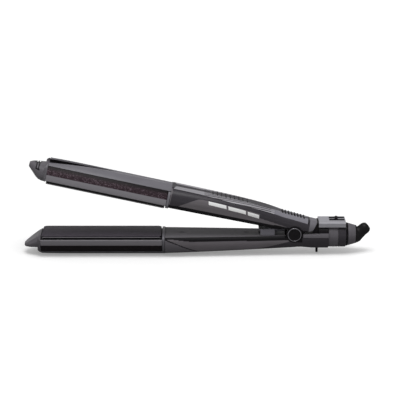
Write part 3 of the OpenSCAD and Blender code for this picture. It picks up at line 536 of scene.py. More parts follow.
def beak_ring(x, half, low, high, chamfer):
    """Round shoulders above and a flat chamfer below, from the lower middle round by +Y."""
    shoulder = min(8.0, 0.56 * (high - low), 0.8 * half)
    side = [(0, low), (0.5 * (half - chamfer), low), (half - chamfer, low), (half, low + chamfer)]
    for i in range(SHOULDER_STEPS + 1):
        a = math.pi / 2 * i / SHOULDER_STEPS
        side.append((half - shoulder + shoulder * math.cos(a), high - shoulder + shoulder * math.sin(a)))
    side += [(0.5 * (half - shoulder), high), (0, high)]
    return mirrored(x, side)


def lofted(name, rings):
    """A closed body, extruded face by face through rings of the same number of points."""
    bpy.ops.mesh.primitive_circle_add(vertices=len(rings[0]), radius=1, fill_type="NGON")
    piece = bpy.context.object
    piece.name = name
    bpy.ops.object.mode_set(mode="EDIT")
    bpy.ops.mesh.select_all(action="SELECT")
    order = None
    for ring in rings:
        if order:
            bpy.ops.mesh.extrude_region_move(TRANSFORM_OT_translate={"value": (0, 0, 0)})
        mesh = bmesh.from_edit_mesh(piece.data)
        loop = list(next(f for f in mesh.faces if f.select).verts)
        if order:
            first = min(range(len(loop)), key=lambda i: (loop[i].co - order[0]).length)
            loop = loop[first:] + loop[:first]
            if (loop[1].co - order[1]).length > (loop[-1].co - order[1]).length:
                loop = [loop[0]] + loop[:0:-1]
        for v, point in zip(loop, ring):
            v.co = point
        order = [v.co.copy() for v in loop]
        bmesh.update_edit_mesh(piece.data)
    bpy.ops.mesh.select_all(action="SELECT")
    bpy.ops.mesh.normals_make_consistent(inside=False)
    bpy.ops.object.mode_set(mode="OBJECT")
    return piece


def carve(piece, *cutters):
    """Cuts pieces out of another one and removes them."""
    for cutter in cutters:
        modify(piece, "BOOLEAN", operation="DIFFERENCE", object=cutter, solver="EXACT")
        bpy.data.objects.remove(cutter)


def half_barrel_ring(x, inset):
    """The barrel's own outline, flat on top and cut off above the plates."""
    r = BARREL_R - inset
    start = math.asin((STRIP_FOOT - ARC_H) / r)
    stop = math.asin((CROWN_H - inset - ARC_H) / r)
    side = [(0, STRIP_FOOT)]
    for i in range(ARC_STEPS + 1):
        a = start + (stop - start) * i / ARC_STEPS
        side.append((r * math.cos(a), ARC_H + r * math.sin(a)))
    side.append((0, CROWN_H - inset))
    return mirrored(x, side)


def flange_ring(x, half, low, high):
    """The same number of points as the barrel's outline, on a rounded rectangle."""
    r = FLANGE_R
    side = [(0, low), (half - r, low)]
    for i in range(1, 5):
        a = math.pi / 8 * i
        side.append((half - r + r * math.sin(a), low + r - r * math.cos(a)))
    for i in range(5):
        a = math.pi / 8 * i
        side.append((half - r + r * math.cos(a), high - r + r * math.sin(a)))
    side += [(0.5 * (half - r), high), (0, high)]
    return mirrored(x, side)


# The beaks' plastic is the spines', pigmented darker
tip_plastic = grained("dark_pps_plastic", (900, 3), relief=(0.12, 0.05),
                      tint=("#5e5b60", "#6a676c"), Roughness=0.36, **PLASTIC)

# Black, for all the hidden work and the black parts, and also laid as painted shade in slots, gaps and
# seams
black_plastic_and_painted_shade = grained("black_pps_plastic_and_painted_shade", (900, 3), relief=(0.15, 0.04), sheen=(0.3, 0.42),
                        Base_Color=linear("#171518"), Roughness=0.36, IOR=1.5, Specular_IOR_Level=0.15)

for arm, place, body in ARMS:
    length = TIP_L[arm]
    root = BARREL_FRONT - FIT
    tip = lofted(f"{arm}_tip_beak", [
        beak_ring(root - share * length, *section) for share, *section in TIP_SECTIONS[arm]])
    flange = lofted("flange", [
        half_barrel_ring(root, FLANGE_INSET), half_barrel_ring(root - FLANGE_T, FLANGE_INSET),
        flange_ring(root - FLANGE_SHARE * length, FLANGE_HALF, STRIP_FOOT, GROOVE_FLOOR + 0.6)])
    soften(flange, 0.25, 40)
    carve(flange, block("channel", root - length, root + 1, -V_HALF, V_HALF, GROOVE_FLOOR, 2 * CROWN_H))
    slots = []
    for share in SLOTS:
        x = root - share * length
        slots += [block("slot", x - SLOT_W / 2, x + SLOT_W / 2, side * SLOT_IN, side * 20,
                        SLOT_FLOOR[arm], 20) for side in (-1, 1)]
    carve(tip, *slots)
    soften(tip, 0.3, 28)
    alone(joined(tip, flange))
    bpy.ops.object.shade_smooth_by_angle(angle=math.radians(32))
    seat(tip, place, body, tip_plastic, "heat_resistant_plastic", f"{arm}_tip_cap")
    # The slot walls are painted black as shade
    coat_or_shade_faces(tip, black_plastic_and_painted_shade, place, lambda p: p.z > SLOT_FLOOR["upper"] - 0.1 and min(
        abs(root - share * length - p.x) for share in SLOTS) < SLOT_W / 2 + 0.02)

# -------- collars
# A glass filled ring between the barrel and the handle, over the head frame's spigot. It is
# moulded grey, with rounded feet, and its end faces are painted black as the shade in the gaps.
FOOT_R = 4.6
FOOT_FACETS = (22, 45, 68)
COLLAR_EDGE = 0.3
SHADOW_FRONT = 0.25
SHADOW_REAR = 0.35


def recast(source, name, width, angle=30):
    """A copy of a CAD solid with its flat faces made whole and its edges rounded (metres)."""
    piece = bpy.data.objects.new(name, frame["nodes"][source].data.copy())
    scene.collection.objects.link(piece)
    alone(piece)
    bpy.ops.mesh.customdata_custom_splitnormals_clear()
    bpy.ops.object.mode_set(mode="EDIT")
    bpy.ops.mesh.select_all(action="SELECT")
    bpy.ops.mesh.remove_doubles(threshold=2e-6)
    bpy.ops.mesh.dissolve_limited(angle_limit=math.radians(0.6))
    bpy.ops.object.mode_set(mode="OBJECT")
    soften(piece, width * MM, angle)
    modify(piece, "WEIGHTED_NORMAL", keep_sharp=True)
    return piece


for arm, place, body in ARMS:
    collar = recast(f"{arm}_collar", f"{arm}_barrel_collar", 0)
    collar.data.transform(place.inverted())
    if place.determinant() < 0:
        collar.data.flip_normals()
    wide = max(v.co.y for v in collar.data.vertices)
    foot = min(v.co.z for v in collar.data.vertices)
    front, rear = (pick(v.co.x for v in collar.data.vertices) for pick in (min, max))
    bpy.ops.object.mode_set(mode="EDIT")
    for side in (-1, 1):
        for a in map(math.radians, FOOT_FACETS):
            out = Vector((0, side * math.cos(a), -math.sin(a)))
            on = Vector((0, side * (wide - FOOT_R), foot + FOOT_R)) + out * FOOT_R
            cut(on, out, use_fill=True, clear_outer=True)
    bpy.ops.object.mode_set(mode="OBJECT")
    soften(collar, COLLAR_EDGE, 40)
    seat(collar, place, body, satin_plastic, "heat_resistant_plastic", f"{arm}_collar")
    # Painted shade: the end faces are black
    coat_or_shade_faces(collar, black_plastic_and_painted_shade, place,
                lambda p: p.x < front + SHADOW_FRONT or p.x > rear - SHADOW_REAR)

# -------- handle shells
# The outer shell of each handle is one gloss moulding in dark warm grey ABS, 2 mm thick. The
# lower one runs on into the tail, and the upper one has hard black ribs across its crown.
HANDLE_L = 117.9
SPLIT = 3.2
INNER_FACE = 1.6
EDGE_R = 3.6
WALL = 2.0
REAR_START = -0.11 * HANDLE_L
REAR_SHARE = 0.89
CAP_START = 11.7
CAP_HALF = 11.4
HEAD_HALF = 18
HALF_TAPER = 5.8
UPPER_CROWN = 19.5
UPPER_DROP = 3.7
REAR_CROWN = 15.8
REAR_DROP = 1.4
LOWER_CROWN = 18.6
LOWER_DROP = 4.7
SHOULDER = 0.62
TAIL_R = 12.6
TAIL_DROP = 3.1
TAIL_END = 31.2
TAIL_SLOPE_AT = 4
TAIL_SLOPE = math.radians(24.3)
SQUARE_END = 6
BLEND_AT = 2
BLEND_L = 16
EAR_R = 7.5
EAR_Y = 10.55
EAR_T = 3.3
EAR_CLEAR = 7.9
# Below this height the shells' edges towards the plates are painted black as shade
SHADED_EDGE_TOP = 5.3
# Two rows of crown ribs: their number, the first one's place, and the pitch, reach and height
RIB_ROWS = ((9, -80, 4.0, 6.6, 0.5), (8, -14.4, 2.9, 5.6, 1.2))
CROWN_RIB_W = 1.5
CROWN_RIB_T = 0.6
RIB_SUNK = 0.1
# The raised front corners of the lower shell: where their rear edge starts, how far back it ends,
# how near the crown they reach, and how proud they stand
FLARE_AT = -115.9
FLARE_L = 26.5
FLARE_RUN = 12.0
FLARE_LIFT = 0.22
FLARE_T = 0.6
FLARE_FIT = 0.4
FLARE_COAT_END = -88
FLARE_COAT_SLOPE = 0.43

gloss_plastic = grained("gloss_abs_plastic", (1200, 2), relief=(0.06, 0.03), patch=(30, 3),
                        tint=("#6a6669", "#746f74"), span=(0.3, 0.7), drift=(0.18, 0.3),
                        Roughness=0.24, **PLASTIC)
# Graphite grey ABS for the dark inserts and the end ring, also laid as painted shade on the lower belly and
# in the ribbon's grooves
graphite_and_painted_shade = grained("graphite_abs_plastic_and_painted_shade", (1100, 2), relief=(0.08, 0.03),
                       tint=("#38353a", "#423f44"), Roughness=0.28, **PLASTIC)


def handle_half(t):
    """Half width of both handles, from t = 0 at the barrel to 1 at the hinge pin."""
    return HEAD_HALF - HALF_TAPER * max(t, 0) ** 1.2


def upper_section(x):
    """Half width and crown height of the upper handle."""
    if x <= REAR_START:
        t = max(1 + x / HANDLE_L, 0)
        return handle_half(t), UPPER_CROWN - UPPER_DROP * (t / REAR_SHARE) ** 5
    share = (x - REAR_START) / (CAP_START - REAR_START)
    half = handle_half(REAR_SHARE)
    return half + share * (CAP_HALF - half), REAR_CROWN - REAR_DROP * share


def lower_section(x):
    """Half width and crown height of the lower handle."""
    t = max(1 + x / HANDLE_L, 0)
    return handle_half(t), LOWER_CROWN - LOWER_DROP * t ** 1.3


def skin(section, x, run, lift=0.0):
    """A point on a handle's outside, run millimetres from the crown's middle round the section."""
    half, crown = section(x)
    shoulder = SHOULDER * half
    flat = half - shoulder
    arc = math.pi / 2 * shoulder
    upright = max(crown - shoulder - INNER_FACE - EDGE_R, 0)
    side = math.copysign(1, run)
    run = abs(run)
    if run <= flat:
        return x, side * run, crown + lift
    if run <= flat + arc:
        a = (run - flat) / shoulder
        return (x, side * (flat + math.sin(a) * (shoulder + lift)),
                crown - shoulder + math.cos(a) * (shoulder + lift))
    if run <= flat + arc + upright:
        return x, side * (half + lift), crown - shoulder - (run - flat - arc)
    a = (run - flat - arc - upright) / EDGE_R
    return (x, side * (half - EDGE_R + math.cos(a) * (EDGE_R + lift)),
            INNER_FACE + EDGE_R - math.sin(a) * (EDGE_R + lift))


def skin_run(section, x, level):
    """How far round the section, from the crown, the outside comes down to a height."""
    half, crown = section(x)
    shoulder = SHOULDER * half
    round_edge = INNER_FACE + EDGE_R
    if level >= crown - shoulder:
        return half - shoulder + shoulder * math.acos((level - crown + shoulder) / shoulder)
    at_side = half - shoulder + math.pi / 2 * shoulder
    if level >= round_edge:
        return at_side + crown - shoulder - level
    return at_side + crown - shoulder - round_edge + EDGE_R * math.asin((round_edge - level) / EDGE_R)


def skin_patch(name, columns, rows, shape):
    """A flat grid whose points are laid onto a handle. shape(u, v) gives each point."""
    bpy.ops.mesh.primitive_grid_add(x_subdivisions=columns, y_subdivisions=rows, size=2)
    piece = bpy.context.object
    piece.name = name
    for v in piece.data.vertices:
        v.co = shape((v.co.x + 1) / 2, (v.co.y + 1) / 2)
    return piece


def upper_edge(x):
    """Height of the upper shell's lower edge, over the ears and the tail's slope."""
    level = SPLIT
    if abs(x) < EAR_CLEAR:
        level = max(level, math.sqrt(EAR_CLEAR ** 2 - x * x))
    if x > TAIL_SLOPE_AT:
        level = max(level, INNER_FACE + (x - TAIL_SLOPE_AT) * math.tan(TAIL_SLOPE))
    return level


def upper_shell_point(u, v):
    x = -HANDLE_L + u * (CAP_START + HANDLE_L)
    reach = skin_run(upper_section, x, upper_edge(x))
    return skin(upper_section, x, (2 * v - 1) * reach)


def crown_rib(x, reach, height):
    """One rounded rib across the upper handle's crown."""
    rib = skin_patch("rib", 4, 24, lambda u, v: skin(
        upper_section, x + (u - 0.5) * CROWN_RIB_W, (2 * v - 1) * reach,
        height * (1 - (2 * u - 1) ** 4) * (1 - (2 * v - 1) ** 8) - RIB_SUNK))
    thicken(rib, CROWN_RIB_T, 0, 50)
    return rib


upper_shell = skin_patch("upper_handle_shell", 260, 96, upper_shell_point)
thicken(upper_shell, WALL, 0, 40)
grip = joined(*(crown_rib(first + i * pitch, reach, height)
                for count, first, pitch, reach, height in RIB_ROWS for i in range(count)))
grip.name = "crown_grip_ribs"
seat(grip, UPPER_ARM, "upper_arm", black_plastic_and_painted_shade, "gloss_black_plastic")
seat(upper_shell, UPPER_ARM, "upper_arm", gloss_plastic, "shell_plastic", "upper_outer_shell")
# The crown and the flanks behind the windows are darker, and the edge towards the plates is painted
# black as shade
for coat, chosen in (
        (graphite_and_painted_shade, lambda p: p.z > upper_section(p.x)[1] - 0.9),
        (graphite_and_painted_shade, lambda p: p.x > -35 and p.z > 9.2 - 0.137 * (p.x + 35)),
        (black_plastic_and_painted_shade, lambda p: p.z < SHADED_EDGE_TOP)):
    coat_or_shade_faces(upper_shell, coat, UPPER_ARM, chosen)


def lower_shell_point(u, v):
    """The lower handle's section, which turns into the tail's tube behind the hinge."""
    x = -HANDLE_L + u * (TAIL_END + HANDLE_L)
    near = min(x, SQUARE_END)
    square = skin(lower_section, near, (2 * v - 1) * skin_run(lower_section, near, SPLIT))
    a = (2 * v - 1) * (math.pi / 2 - 0.01)
    tube = (x, TAIL_R * math.sin(a), TAIL_DROP + TAIL_R * math.cos(a))
    share = min(max((x - BLEND_AT) / BLEND_L, 0), 1)
    share = share * share * (3 - 2 * share)
    return x, square[1] + share * (tube[1] - square[1]), square[2] + share * (tube[2] - square[2])


lower_shell = skin_patch("lower_handle_shell", 300, 96, lower_shell_point)
thicken(lower_shell, WALL, 0, 40)


def flare_point(side, u, v):
    """The raised front corner of the lower shell, its rear edge falling from inner face to crown."""
    seam = FLARE_AT + FLARE_L * v
    x = -HANDLE_L + FLARE_FIT + u * (seam + HANDLE_L - FLARE_FIT)
    foot = skin_run(lower_section, x, SPLIT + 0.3)
    return skin(lower_section, x, side * (foot - v * (foot - FLARE_RUN)), FLARE_LIFT)


flares = []
for side in (-1, 1):
    flare = skin_patch("flare", 40, 24, lambda u, v: flare_point(side, u, v))
    thicken(flare, FLARE_T, 0.12, 40)
    flares.append(flare)

# The hinge ears: discs on the shell's sides that take the pin
for side in (-1, 1):
    bpy.ops.mesh.primitive_cylinder_add(vertices=96, radius=EAR_R, depth=EAR_T,
                                        location=(0, side * EAR_Y, 0), rotation=(math.pi / 2, 0, 0))
    ear = bpy.context.object
    bpy.ops.object.transform_apply(location=True, rotation=True)
    soften(ear, 0.3, 40)
    root = block("ear_root", -EAR_R, EAR_R, side * EAR_Y - EAR_T / 2, side * EAR_Y + EAR_T / 2, 0, EAR_R)
    soften(root, 0.2, 40)
    flares += [ear, root]
joined(lower_shell, *flares)
seat(lower_shell, LOWER_ARM, "base", gloss_plastic, "shell_plastic", "lower_outer_shell")


def over_seam(p):
    """How far a point lies over the rear edge of the shell's front corner."""
    return p.z - 4.0 - FLARE_COAT_SLOPE * (p.x - FLARE_AT)


# The belly and most of the tail are painted darker as shade, and the front corners are the beaks'
# grey. The seams round those corners and the edge towards the plates are painted black as shade,
# and the ears are black
for coat, chosen in (
        (graphite_and_painted_shade, lambda p: p.z > 16.2 - 0.26 * (p.x + 42)),
        (tip_plastic, lambda p: p.x < FLARE_COAT_END and over_seam(p) > 0),
        (black_plastic_and_painted_shade, lambda p: p.x < FLARE_COAT_END and abs(over_seam(p)) < 0.5),
        (black_plastic_and_painted_shade, lambda p: p.x < -4 and p.z < min(SHADED_EDGE_TOP, SPLIT + 0.12 * (p.x + 112))),
        (black_plastic_and_painted_shade, lambda p: abs(p.y) > 8.8 and math.hypot(p.x, p.z) < EAR_R + 0.1)):
    coat_or_shade_faces(lower_shell, coat, LOWER_ARM, chosen)

# -------- head frames
# A glass filled channel in each head carries strips, spine, plate and wires. It is plain black
# moulded work, seen only past the plate and in the V of the spine.


def recoat(coat, *names):
    """Gives CAD solids, which are shown as they are, their real finish."""
    for name in names:
        frame["nodes"][name].data.materials.clear()
        frame["nodes"][name].data.materials.append(coat)


recoat(black_plastic_and_painted_shade, "lower_head_frame", "upper_head_frame")

# -------- inner covers
# Flat lids on the inside of both handles, moulded in the same grey and held by two screws each.
# The lock's stem slides in a slot of the lower one, and the upper one opens for the lock's block.
IN_PLACE = Matrix.Identity(4)
COVER_EDGE = 0.25
COVER_SHADOW = 0.3

cover_plastic = grained("satin_abs_plastic", (1000, 3), relief=(0.12, 0.04), patch=(35, 2),
                        tint=("#656267", "#706d72"), sheen=(0.34, 0.46),
                        Roughness=0.4, **PLASTIC)

for arm, place, body in ARMS:
    cover = recast(f"{arm}_inner_cover", f"{arm}_handle_cover", COVER_EDGE)
    seat(cover, IN_PLACE, body, cover_plastic, "cover_plastic", f"{arm}_inner_cover")
    # The covers' long rounded edges are painted black as shade
    coat_or_shade_faces(cover, black_plastic_and_painted_shade, place,
                lambda p: abs(p.y) > handle_half(1 + p.x / HANDLE_L) - EDGE_R + COVER_SHADOW)

# -------- trim strips
# Silver grey ribbons let into both shoulders of the upper handle. Their front third is plain,
# and the rest carries long slanted ribs, so that the thumb finds it.
TRIM_FRONT = -116.3
TRIM_REAR = -22.3
PLAIN_END = -88.0
RIBBON_PITCH = 2.3
SLANT = 0.075
GROOVE_SHARE = 0.4
GROOVE_DEPTH = 0.4
TRIM_LEAN = 2.2
PANEL_T = 0.7
# Upper and lower edge of the ribbon: distance along the handle and run round the section
RIBBON_TOP = ((-116.3, 4.0), (-92, 3.2), (-78, 3.8), (-64, 4.6), (-50, 5.6), (-36, 6.0), (-22, 5.2))
RIBBON_LOW = ((-116.3, 10.8), (-92, 10.9), (-78, 11.7), (-64, 12.3), (-50, 12.2), (-36, 12.0), (-22, 11.7))

ribbon_plastic = grained("silver_painted_abs", (2000, 2), relief=(0.1, 0.02),
                         tint=("#b4b2b8", "#c4c2c8"), Metallic=0.55, Roughness=0.36)


def laid_panel(name, columns, rows, outline, lift=0.14, edge=0.1):
    """A panel on the upper handle. outline(u, v) gives its x, run and any extra height."""
    def point(u, v):
        x, run, rise = outline(u, v)
        return skin(upper_section, x, run, lift + rise)
    panel = skin_patch(name, columns, rows, point)
    thicken(panel, PANEL_T, edge, 40)
    return panel


def along(chain, x):
    """The run of an edge at a place along the handle."""
    for (x0, r0), (x1, r1) in zip(chain, chain[1:]):
        if x <= x1:
            return r0 + (r1 - r0) * max(x - x0, 0) / (x1 - x0)
    return chain[-1][1]


def rib_phase(x, run):
    """How far through a groove and its rib a point of the ribbon lies, from 0 to 1."""
    return (run - 3.0 + (x - PLAIN_END) * SLANT) / RIBBON_PITCH % 1


def ribbon_outline(side, u, v):
    """The ribbon's face, with a leaning front end and plain edges along its ribs."""
    front = TRIM_FRONT + (1 - v) * TRIM_LEAN
    x = front + u * (TRIM_REAR - front)
    top = along(RIBBON_TOP, x)
    run = top + v * (along(RIBBON_LOW, x) - top)
    if v < 0.04 or v > 0.96 or rib_phase(x, run) >= GROOVE_SHARE:
        return x, side * run, 0.0
    return x, side * run, -GROOVE_DEPTH * min(max(x - PLAIN_END, 0) / 4, 1)


def run_at(p):
    """How far round the upper handle, from the middle of its crown, a point on its shoulder lies."""
    half, crown = upper_section(p.x)
    shoulder = SHOULDER * half
    flat = half - shoulder
    if abs(p.y) <= flat:
        return abs(p.y)
    return flat + shoulder * math.atan2(abs(p.y) - flat, p.z - crown + shoulder)


def in_groove(p):
    """Whether a point on the ribbon lies between two of its ribs."""
    return p.x > PLAIN_END and rib_phase(p.x, run_at(p)) < GROOVE_SHARE


def in_gap(p):
    """Whether a point on the shell lies in the shadow gap above or below a ribbon."""
    over = along(RIBBON_TOP, p.x) - run_at(p)
    under = run_at(p) - along(RIBBON_LOW, p.x)
    return TRIM_FRONT < p.x < TRIM_REAR and p.z > 6 and (0 < over < 0.8 or 0 < under < 0.7)


for name, side in SIDES:
    ribbon = laid_panel(f"{name}_ribbed_ribbon", 300, 72, lambda u, v: ribbon_outline(side, u, v), edge=0)
    seat(ribbon, UPPER_ARM, "upper_arm", ribbon_plastic, "ribbed_trim", f"{name}_trim_strip")
    # The grooves between the ribs are painted dark as shade
    coat_or_shade_faces(ribbon, graphite_and_painted_shade, UPPER_ARM, in_groove)
# The gaps above and below each ribbon are painted black on the shell as shade
coat_or_shade_faces(upper_shell, black_plastic_and_painted_shade, UPPER_ARM, in_gap)

# -------- side panels
# Dark gloss inserts on the flanks of the upper handle. Each is tall at the barrel, sweeps up to
# a narrow band, and runs on to the rear as that band. Their faces are left bare.
PANEL_FRONT = -117.2
PANEL_REAR = -21
PANEL_GAP = 0.6
# Lower edge of the panel: distance along the handle and run round the section
SWEEP = ((-117.2, 28.0), (-110, 27.2), (-104, 23.6), (-100, 21.2), (-96, 18.7), (-92.5, 16.8),
         (-89, 16.1), (-60, 16.1), (-21, 16.0))


def side_outline(side, u, v):
    """The insert's face, from just below the ribbon down to its swept edge."""
    x = PANEL_FRONT + u * (PANEL_REAR - PANEL_FRONT)
    top = along(RIBBON_LOW, x) + PANEL_GAP
    return x, side * (top + v * (along(SWEEP, x) - top)), 0.0


for name, side in SIDES:
    panel = laid_panel(f"{name}_flank_insert", 200, 20, lambda u, v: side_outline(side, u, v), lift=0.1)
    seat(panel, UPPER_ARM, "upper_arm", graphite_and_painted_shade, "gloss_black_plastic", f"{name}_side_panel")

# -------- rear panels
# Satin lilac grey inserts on both shoulders at the rear, where the fingers pinch the handle. They
# are moulded ABS, snapped in, and their rear ends are painted black as shade.
REAR_FRONT = -25.5
REAR_L = 36.4
REAR_NARROWING = 18
# Upper and lower edge, as run round the section: at the front, and how much nearer the crown behind
REAR_TOP, REAR_TOP_SHIFT = 5.2, 3.4
REAR_LOW, REAR_LOW_SHIFT = 11.7, 0.7
REAR_SHADE_FROM = 10.1

lilac_plastic = grained("lilac_satin_abs", (1000, 2), relief=(0.1, 0.03),
                        tint=("#7c7a82", "#86848c"), Roughness=0.38, **PLASTIC)


def rear_outline(side, u, v):
    """The insert's face, which moves up the shoulder over its front half."""
    x = REAR_FRONT + u * REAR_L
    share = min(max((x - REAR_FRONT) / REAR_NARROWING, 0), 1)
    top = REAR_TOP - REAR_TOP_SHIFT * share
    low = REAR_LOW - REAR_LOW_SHIFT * share
    return x, side * (top + v * (low - top)), 0.0


for name, side in SIDES:
    panel = laid_panel(f"{name}_rear_insert", 70, 12, lambda u, v: rear_outline(side, u, v), lift=0.12)
    seat(panel, UPPER_ARM, "upper_arm", lilac_plastic, "cover_plastic", f"{name}_rear_panel")
    coat_or_shade_faces(panel, black_plastic_and_painted_shade, UPPER_ARM, lambda p: p.x > REAR_SHADE_FROM)

# -------- label windows
# Three white windows in a row on the near flank: plain film, printed solid, bonded on and left
# blank.
WINDOWS = ((-83.4, -65.9), (-64.9, -47.6), (-46.6, -35))
WINDOW_LEAN = 0.9
WINDOW_RUN = 16.4
WINDOW_H = 3.2
WINDOW_FALL = 0.018

white_print = grained("white_printed_film", (1500, 2), relief=(0.05, 0.02),
                      tint=("#f0f0f0", "#f8f8f8"), Roughness=0.4, IOR=1.45)
bars = joined(*(laid_panel("window", 30, 6, lambda u, v: (
    x0 + WINDOW_LEAN * v + u * (x1 - x0 - WINDOW_LEAN),
    -(WINDOW_RUN + WINDOW_FALL * (x0 + 83) + WINDOW_H * v), 0.0), lift=0.18) for x0, x1 in WINDOWS))
bars.name = "blank_label_windows"
seat(bars, UPPER_ARM, "upper_arm", white_print, "white_print", "label_bars")

# -------- rear end cap
# Closes the upper handle behind the hinge. It is a satin grey moulding, pressed in, and its
# front edge is painted black as the shade of a shadow gap.
CAP_EDGE = 0.3
CAP_SHADOW = 0.45
cap = recast("rear_end_cap", "handle_end_cap", CAP_EDGE)
seat(cap, IN_PLACE, "upper_arm", satin_plastic, "cover_plastic", "rear_end_cap")
coat_or_shade_faces(cap, black_plastic_and_painted_shade, UPPER_ARM, lambda p: p.x < CAP_START + CAP_SHADOW)

# -------- hinge
# The knuckle turns on a steel pin between the ears. Black domed caps in bright rings cover the
# pin's ends, and a torsion spring round the pin opens the arms.
CAP_R = 5.55
RING_W = 0.6
RING_FIT = 0.05
EAR_FACE = 12.2

bright_metal = grained("nickel_plated_steel", (1600, 2), relief=(0.1, 0.02),
                       tint=("#8e8c92", "#a09ea4"), Metallic=1.0, Roughness=0.28)


def turned(name, profile, steps=96):
    """A chain of (along, radius) points, extruded one by one and spun about the X axis."""
    bpy.ops.mesh.primitive_plane_add(size=1)
    piece = bpy.context.object
    piece.name = name
    bpy.ops.object.mode_set(mode="EDIT")
    mesh = bmesh.from_edit_mesh(piece.data)
    mesh.verts.ensure_lookup_table()
    bmesh.ops.delete(mesh, geom=mesh.verts[1:], context="VERTS")
    mesh.verts.ensure_lookup_table()
    mesh.verts[0].co = (profile[0][0], 0, profile[0][1])
    mesh.verts[0].select = True
    bmesh.update_edit_mesh(piece.data)
    for (x0, r0), (x1, r1) in zip(profile, profile[1:]):
        bpy.ops.mesh.extrude_vertices_move(TRANSFORM_OT_translate={"value": (x1 - x0, 0, r1 - r0)})
    bpy.ops.mesh.select_all(action="SELECT")
    bpy.ops.mesh.spin(steps=steps, angle=2 * math.pi, center=(0, 0, 0), axis=(1, 0, 0))
    return closed(piece)


for name, side in SIDES:
    outwards = Matrix.Translation(HINGE) @ Matrix.Rotation(side * math.pi / 2, 4, "Z") @ Matrix.Scale(MM, 4)
    dome = turned(f"{name}_hinge_dome", [
        (EAR_FACE, 0), (EAR_FACE, CAP_R), (EAR_FACE + 0.8, CAP_R), (EAR_FACE + 1.0, CAP_R - 0.25),
        (EAR_FACE + 1.0, CAP_R - 0.9), (EAR_FACE + 0.75, CAP_R - 1.3), (EAR_FACE + 0.9, CAP_R - 3.0),
        (EAR_FACE + 1.0, 0)])
    soften(dome, 0.12, 25)
    seat(dome, outwards, "base", black_plastic_and_painted_shade, "gloss_black_plastic", f"{name}_hinge_cap")
    inner, outer = CAP_R + RING_FIT, CAP_R + 2 * RING_FIT + RING_W
    ring = turned(f"{name}_bright_ring", [
        (EAR_FACE, inner), (EAR_FACE, outer), (EAR_FACE + 0.8, outer), (EAR_FACE + 0.88, inner),
        (EAR_FACE, inner)])
    soften(ring, 0.15, 30, 3)
    seat(ring, outwards, "base", bright_metal, "spring_steel", f"{name}_cap_ring")

recoat(black_plastic_and_painted_shade, "hinge_knuckle")
recoat(bright_metal, "hinge_pin", "opening_spring")

# -------- tail
# The tail barrel is closed by a grey top cover, a mid grey clamping band and a dark end ring. The
# cover's top is painted black as shade, and its grey skirt below is left light as a painted highlight.
# The band's and ring's edges are rounded and leave fine shadow gaps.
BAND_R = 11.6
BAND_END = 40.2
RING_START = 40.4
RING_END = 47.2
SLEEVE = TAIL_R - WALL - 0.1
PLUG = BAND_R - WALL - 0.1
PLUG_L = 3
BORE_R = BAND_R - 2 * WALL
NECK_BORE = 6.1
TAIL_EDGE = 0.35
LID_EDGE = 0.25
LID_SHADE_FROM = 0.9

# The tail's own millimetres: X back from the hinge pin along the middle of its tube
TAIL = Matrix.Translation(HINGE - Vector((0, 0, TAIL_DROP * MM))) @ Matrix.Scale(MM, 4)
top_cover = recast("tail_top_cover", "tail_lid", LID_EDGE)
seat(top_cover, IN_PLACE, "base", cover_plastic, "shell_plastic", "tail_top_cover")
# The cover's top is painted black as shade
coat_or_shade_faces(top_cover, black_plastic_and_painted_shade, IN_PLACE, lambda p: p.z > HINGE.z + LID_SHADE_FROM * MM)
band = turned("tail_clamp_band", [
    (TAIL_END + 0.1, BAND_R), (BAND_END, BAND_R), (BAND_END, BAND_R - WALL),
    (TAIL_END - PLUG_L, BAND_R - WALL), (TAIL_END - PLUG_L, SLEEVE), (TAIL_END + 0.1, SLEEVE),
    (TAIL_END + 0.1, BAND_R)])
soften(band, TAIL_EDGE, 30, 3)
seat(band, TAIL, "base", tip_plastic, "cover_plastic", "tail_band")
ring = turned("tail_end_sleeve", [
    (RING_START, BAND_R), (RING_END, BAND_R), (RING_END, NECK_BORE), (RING_END - WALL, NECK_BORE),
    (RING_END - WALL, BORE_R), (BAND_END - PLUG_L, BORE_R), (BAND_END - PLUG_L, PLUG),
    (RING_START, PLUG), (RING_START, BAND_R)])
soften(ring, TAIL_EDGE, 30, 3)
seat(ring, TAIL, "base", graphite_and_painted_shade, "cover_plastic", "tail_end_ring")

# -------- switch pod
# A pale grey housing on the tail holds the slide switch. Its edges are chamfered, and a plate of
# the same grey with two blackened guide rails is let into its top.
POD_EDGE = 0.3
RAIL_H = 0.7

pod_plastic = grained("pale_grey_abs", (1000, 3), relief=(0.1, 0.03),
                      tint=("#98979d", "#a3a2a8"), Roughness=0.36, **PLASTIC)
pod = recast("switch_pod", "switch_housing", POD_EDGE)
seat(pod, IN_PLACE, "base", pod_plastic, "shell_plastic", "switch_pod")
recoat(pod_plastic, "switch_fascia")
recoat(black_plastic_and_painted_shade, "slide_switch", "switch_nub")
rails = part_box("switch_fascia")[1].z - RAIL_H * MM
coat_or_shade_faces(frame["nodes"]["switch_fascia"], black_plastic_and_painted_shade, IN_PLACE, lambda p: p.z > rails)

# -------- rest peg
# A small black peg under the tail keeps the iron level on a table. It is moulded in the heat
# resistant plastic and pressed into the lower shell.
recoat(black_plastic_and_painted_shade, "rest_peg")

# -------- plate lock
# A thumb slider on the lower handle with a wedge hook that catches the upper handle. It is one
# lilac grey moulding, with grip grooves across its top, a pointed tongue and a black hook.
LOCK_EDGE = 0.3
HOOK_UP = 3
HOOK_AT = 28
slider = recast("lock_slider", "lock_thumb_slider", LOCK_EDGE)
seat(slider, IN_PLACE, "lock", lilac_plastic, "cover_plastic", "lock_slider")
coat_or_shade_faces(slider, black_plastic_and_painted_shade, IN_PLACE,
            lambda p: p.z > HINGE.z + HOOK_UP * MM and p.x < HINGE.x - HOOK_AT * MM)

